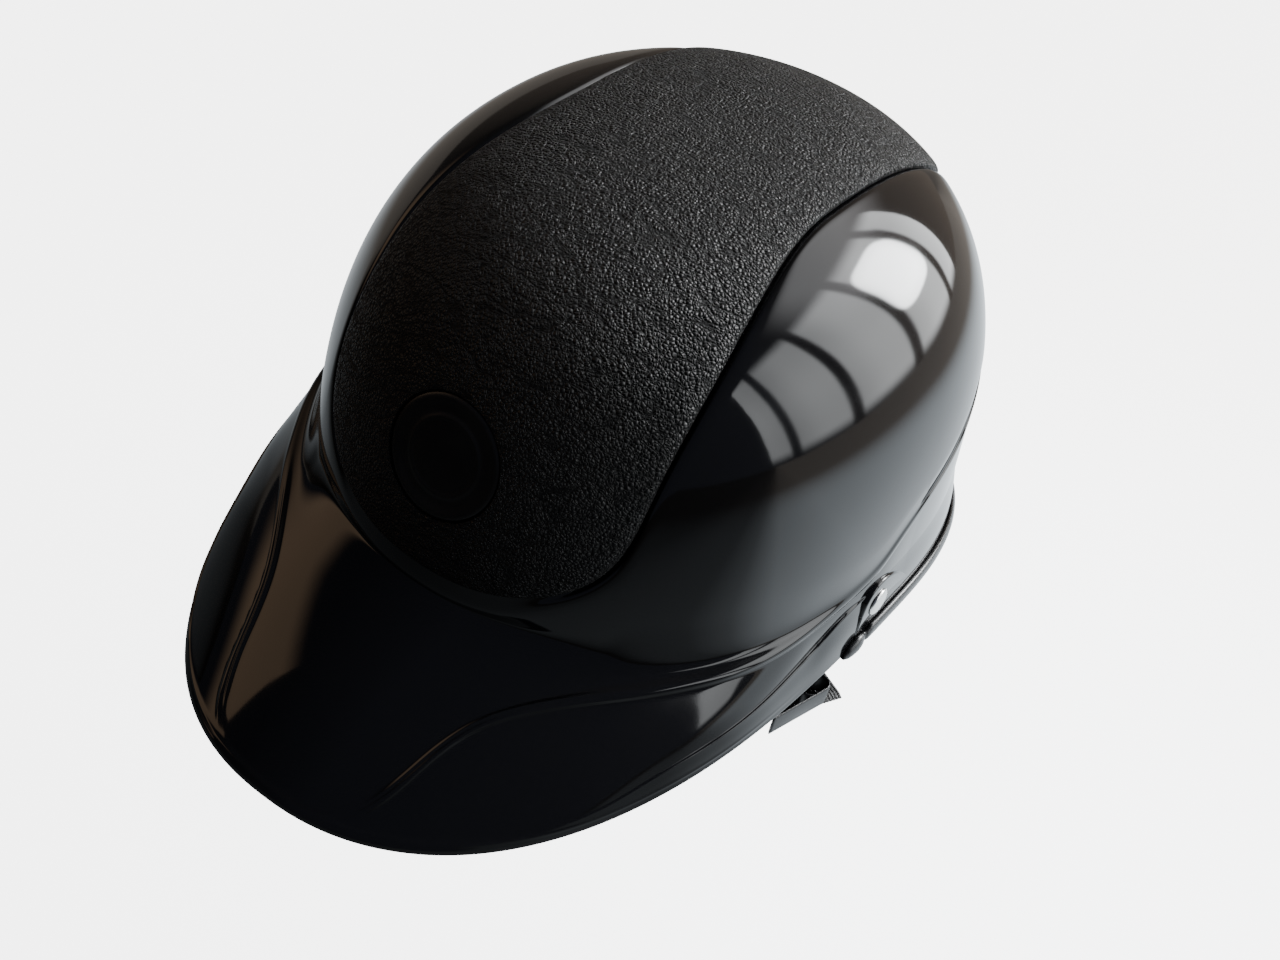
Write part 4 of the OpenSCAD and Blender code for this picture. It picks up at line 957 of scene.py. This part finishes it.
def cushion(name, node, front, back, seam, faces, rim):
    """A cushion of a front and an equal back sheet joined along the rim, with a cord round it."""
    m, n = len(rim), len(front)
    sides = [[rim[(j + 1) % m], rim[j], rim[j] + n, rim[(j + 1) % m] + n] for j in range(m)]
    every = faces + [[v + n for v in f[::-1]] for f in faces] + sides
    ob = mesh_object(name, np.vstack([front, back]), every, "helmet", CLOTH)
    blown_up(ob, np.concatenate([seam, np.ones(n)]))
    cord_points, cord_faces = piping((front[rim] + back[rim]) / 2)
    append(ob, cord_points, cord_faces, outward=True)
    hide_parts(node)


def on_liner(a, z, d):
    """Points at direction a and height z on the surface at depth d, upright below the belt."""
    r, height = crown(a, lat_at_height(z, d), d)
    low = z <= BELT
    return place(a, np.where(low, crown_radius(a, d), r), np.where(low, z, height))


def drawn_in(off):
    """The share of its swell that a cushion loses at a distance from a sewn channel."""
    return CHANNEL_DEPTH * (1 - np.sqrt(np.clip(off / CHANNEL_W, 0, 1)))


def side_pad(name, node, first, last, span, channels, nu):
    """A pad on the liner's wall, from direction first to last; its span is shares of the crown's height."""
    nv, pinch, wall_r = 26, 0.12, 85
    u, v = np.meshgrid(np.linspace(-1, 1, nu), np.linspace(-1, 1, nv), indexing="ij")
    u, v = u.ravel(), v.ravel()
    outline = np.maximum(0, 1 - np.abs(u) ** 4) ** 0.25 * (1 - pinch * (1 - u * u))
    pull = 1 - 0.05 * np.abs(v) ** 3 * np.abs(u) ** 6
    a = mix(first, last, (u * pull + 1) / 2)
    z = mix(span[0] * CROWN_H, span[1] * CROWN_H, (v * mix(0.72, 1, outline) + 1) / 2)
    swell = np.maximum(0, (1 - np.abs(u) ** 6) * (1 - np.abs(v) ** 4)) ** 0.5
    half = radians(abs(last - first)) / 2 * wall_r
    middles = np.linspace(-1, 1, channels + 2)[1:-1]
    off = np.min([np.abs(u - middle) * half for middle in middles], axis=0)
    front = on_liner(a, z, PAD_BACK + PAD_MIN + FILL * swell * (1 - drawn_in(off)))
    back = on_liner(a, z, PAD_BACK)
    index = np.arange(nu * nv).reshape(nu, nv)
    quads = np.stack([index[:-1, :-1], index[:-1, 1:], index[1:, 1:], index[1:, :-1]], -1)
    rim = np.concatenate([index[:, 0], index[-1, 1:], index[-2::-1, -1], index[0, -2:0:-1]]).tolist()
    seam = np.exp(-(off / STITCH_W) ** 2)
    seam[rim] = 1
    cushion(name, node, front, back, seam, quads.reshape(-1, 4).tolist(), rim)


def top_pad():
    """The round pad under the crown, with four lobes and a sewn cross."""
    n, rows = 96, 20
    share = np.repeat(np.linspace(0, 1, rows + 1)[1:], n)
    a = np.tile(np.arange(n) * 360 / n, rows)
    t = np.radians(a)
    lobes = 1 - 0.1 * np.abs(np.sin(2 * t)) ** 6
    r = 0.447 * CROWN_HALF * share * lobes * (1 + 0.18 * np.abs(np.cos(t)))

    def spot(d):
        lat = np.degrees(np.arcsin(np.clip((r / crown_radius(a, d)) ** (SIDE_N / 2), 0, 1)))
        return crown_point(a, lat, d)

    off = np.minimum(np.abs(r * np.sin(t)), np.abs(r * np.cos(t)))
    in_cross = ease((share - 0.25) / 0.1)
    swell = np.maximum(0, 1 - share ** 4) ** 0.5 * (1 - in_cross * drawn_in(off))
    thin = CROWN_BACK + PAD_MIN
    front = np.vstack([[0, CY, CROWN_H - thin - FILL], spot(thin + FILL * swell)])
    back = np.vstack([[0, CY, CROWN_H - CROWN_BACK], spot(CROWN_BACK)])
    faces = [[0, 1 + (j + 1) % n, 1 + j] for j in range(n)] + ring_faces(rows, n, offset=1)
    rim = [1 + (rows - 1) * n + j for j in range(n)]
    seam = np.maximum((share > 0.999) * 1.0, in_cross * np.exp(-(off / STITCH_W) ** 2))
    cushion("crown_cushion", "crown_pad", front, back, np.concatenate([[0], seam]), faces, rim)


BROW, SIDE_SPAN, NAPE = (0.332, 0.523), (0.357, 0.587), (0.204, 0.434)
top_pad()
side_pad("brow_cushion", "brow_pad", -52, 52, BROW, 3, 110)
side_pad("left_cushion", "left_side_pad", 62, 118, SIDE_SPAN, 1, 60)
side_pad("right_cushion", "right_side_pad", 242, 298, SIDE_SPAN, 1, 60)
side_pad("nape_cushion", "nape_pad", 132, 228, NAPE, 3, 100)

# Better materials for the solids that stay
KEPT_SOLIDS = [(CLOTH, "pad_dots"), (STEEL, "left_washer", "right_washer", "left_eyelet", "right_eyelet"),
               (PLASTIC, "strap_adjuster", "buckle_plug", "buckle_prong_inner", "buckle_prong_outer",
                "buckle_socket")]
for surface, *names in KEPT_SOLIDS:
    for name in names:
        nodes[name].data.materials.clear()
        nodes[name].data.materials.append(surface)


# Floor, lights, surround and camera, in metres
def stage_plane(name, size, where, look, surface, seen=False):
    """A flat rectangle facing look, kept out of the model and used as studio surroundings."""
    me = bpy.data.meshes.new(name)
    w, h = size[0] / 2, size[1] / 2
    me.from_pydata([(-w, -h, 0), (w, -h, 0), (w, h, 0), (-w, h, 0)], [], [(0, 1, 2, 3)])
    me.materials.append(surface)
    ob = new_object(name, me)
    ob.location = where
    ob.rotation_mode = "QUATERNION"
    ob.rotation_quaternion = (Vector(look) - Vector(where)).to_track_quat("Z", "Y")
    ob.visible_camera = seen
    return ob


def to_surface(tree, shader, output="Material Output"):
    fill(tree, tree.nodes[output], Surface=shader)


def glow(name, lit, clear=True):
    """Only gives off light, of the colour and strength that lit makes, and is see-through where clear."""
    m, t, b = material(name)
    t.nodes.remove(b)
    colour, strength = lit(t)
    shader = add(t, "Emission", Color=colour, Strength=strength).outputs[0]
    if clear:
        both = add(t, "AddShader")
        plug(t, shader, both.inputs[0])
        plug(t, add(t, "BsdfTransparent").outputs[0], both.inputs[1])
        shader = both.outputs[0]
    to_surface(t, shader)
    return m


def choice(tree, factor, first, second):
    """The first shader where the factor is 0, and the second where it is 1."""
    node = add(tree, "MixShader")
    for value, socket in zip((factor, first.outputs[0], second.outputs[0]), node.inputs):
        plug(tree, value, socket)
    return node.outputs[0]


def x_and_y(tree, vector):
    parts = add(tree, "SeparateXYZ", Vector=vector)
    return parts.outputs["X"], parts.outputs["Y"]


def softboxes(t):
    """A bank of four tall softboxes with soft edges, and a brighter one in front of it."""
    x, y = x_and_y(t, coords(t))
    box_edges = [(0, 0), (0.05, 0), (0.12, 0.9), (0.5, 1), (0.88, 0.9), (0.95, 0)]
    boxes = ramp(t, calc(t, "FRACT", plus(t, product(t, x, 1.48), 0.5)), box_edges, "EASE")
    ends = ramp(t, calc(t, "ABSOLUTE", y), [(0, 1), (0.6, 0.85), (0.78, 0)], "EASE")
    grow = ramp(t, plus(t, product(t, x, -0.5), 0.5), [(0, 0.45), (1, 1)])
    off_x = calc(t, "POWER", product(t, plus(t, x, 0.66), 3.2), 4)
    off_y = calc(t, "POWER", product(t, calc(t, "SUBTRACT", y, 0.16), 2.5), 4)
    near = ramp(t, plus(t, off_x, off_y), [(0, 1), (0.6, 0.8), (1, 0)], "EASE")
    strength = plus(t, product(t, boxes, ends, grow, 0.15), product(t, near, 0.75))
    return (0.96, 0.985, 1, 1), product(t, strength, 60)


def overhead(t):
    """A broad dim light high up behind the helmet, soft along all its edges."""
    x, y = x_and_y(t, coords(t))
    across = ramp(t, calc(t, "ABSOLUTE", product(t, x, 0.5)), [(0.3, 1), (0.98, 0)], "EASE")
    deep = ramp(t, calc(t, "ABSOLUTE", product(t, y, 0.8)), [(0.25, 1), (0.95, 0)], "EASE")
    return (0.97, 0.98, 1, 1), product(t, across, deep, 2.6)


def warm(t):
    """A dim warm card, soft along three of its edges."""
    x, y = x_and_y(t, coords(t))
    end = ramp(t, plus(t, product(t, x, 0.5), 0.5), [(0.45, 1), (0.95, 0)], "EASE")
    side = ramp(t, calc(t, "ABSOLUTE", y), [(0.25, 1), (0.54, 0)], "EASE")
    return (0.29, 0.195, 0.12, 1), product(t, end, side, 3)


def make_floor():
    """Plain and pale from above, clear from below so that the inside can be looked at."""
    m, t, b = material("floor")
    fill(t, b, Base_Color=(0.9, 0.9, 0.9, 1), Roughness=0.9, Emission_Color=(1, 1, 1, 1),
         Emission_Strength=PALE)
    from_below = add(t, "NewGeometry").outputs["Backfacing"]
    to_surface(t, choice(t, from_below, b, add(t, "BsdfTransparent")))
    return m


def low_light(t):
    """Soft light from below: bright behind and beside the helmet, dim in front and further away."""
    x, y = x_and_y(t, add(t, "NewGeometry").outputs["Position"])
    front_to_back = [(0.3, 0.07), (0.38, 0.12), (0.42, 0.13), (0.45, 0.28), (0.48, 0.7), (0.55, 0.95)]
    behind = ramp(t, plus(t, y, 0.5), front_to_back)
    beside = ramp(t, plus(t, x, 0.5), [(0.42, 0.42), (0.56, 1)], "EASE")
    dx, dy = calc(t, "SUBTRACT", x, 0.12), calc(t, "SUBTRACT", y, 0.08)
    away = calc(t, "SQRT", plus(t, product(t, dx, dx), product(t, dy, dy)))
    tint = ramp(t, away, [(0.22, (0.86, 0.94, 1)), (0.6, (0.28, 0.25, 0.22))], "EASE")
    return tint, product(t, behind, beside, 2.2)


def make_world():
    """A surround that is plain and pale to the camera, and dim to everything else."""
    world = bpy.data.worlds.new("studio")
    world.use_nodes = True
    t = world.node_tree
    x, y = x_and_y(t, add(t, "TexCoord").outputs["Generated"])
    front_to_back = [(0, (0.09, 0.097, 0.125)), (0.45, (0.09, 0.082, 0.075)), (0.9, (0.40, 0.33, 0.27))]
    dim = fill(t, t.nodes["Background"], Color=ramp(t, y, front_to_back),
               Strength=ramp(t, plus(t, product(t, x, 0.5), 0.5), [(0.2, 0.45), (0.42, 1)]))
    pale = add(t, "Background", Color=(1, 1, 1, 1), Strength=PALE)
    seen = add(t, "LightPath").outputs["Is Camera Ray"]
    to_surface(t, choice(t, seen, dim, pale), "World Output")
    return world


PALE = 5
FLOOR_SIZE = (12, 12)
LOW_LIGHT = glow("low_light", low_light, clear=False)
stage_plane("softbox_card", (2.7, 1.6), (1.22, 0.85, 0.78), (0, 0, 0.1), glow("softbox_light", softboxes))
stage_plane("overhead_card", (4, 2.4), (0.62, 1.7, 2.3), (0, 0, 0.1), glow("overhead_light", overhead))
stage_plane("warm_card", (1.9, 1.1), (-1.4, -0.25, 0.62), (0, 0, 0.05), glow("warm_light", warm))

# The floor lies low enough for the straps to hang free in every pose. A light card at the rim's level stands
# in for its glow.
floor = stage_plane("floor", FLOOR_SIZE, (0, 0, -0.2), (0, 0, 1), make_floor(), seen=True)
floor.visible_glossy = floor.visible_diffuse = floor.visible_shadow = False
stage_plane("low_light_card", FLOOR_SIZE, (0, 0, -0.0002), (0, 0, 1), LOW_LIGHT)
bpy.context.scene.world = make_world()

# Camera at the photograph's viewing angle: its right, up and back directions and its place
CAM_RIGHT, CAM_UP = (0.79622, 0.57790, 0.17908), (-0.49717, 0.45632, 0.73799)
CAM_BACK = (0.34476, -0.67663, 0.65064)
CAM_PLACE = (0.22133, (-433.62 + CY) * MM, 0.42534)
cam_data = bpy.data.cameras.new("camera")
cam_data.lens, cam_data.sensor_width = 49.797, 36
cam_data.dof.use_dof = False
cam_data.clip_start, cam_data.clip_end = 0.01, 50
cam = new_object("camera", cam_data)
cam.matrix_world = Matrix([*zip(CAM_RIGHT, CAM_UP, CAM_BACK, CAM_PLACE), (0, 0, 0, 1)])
bpy.context.scene.camera = cam
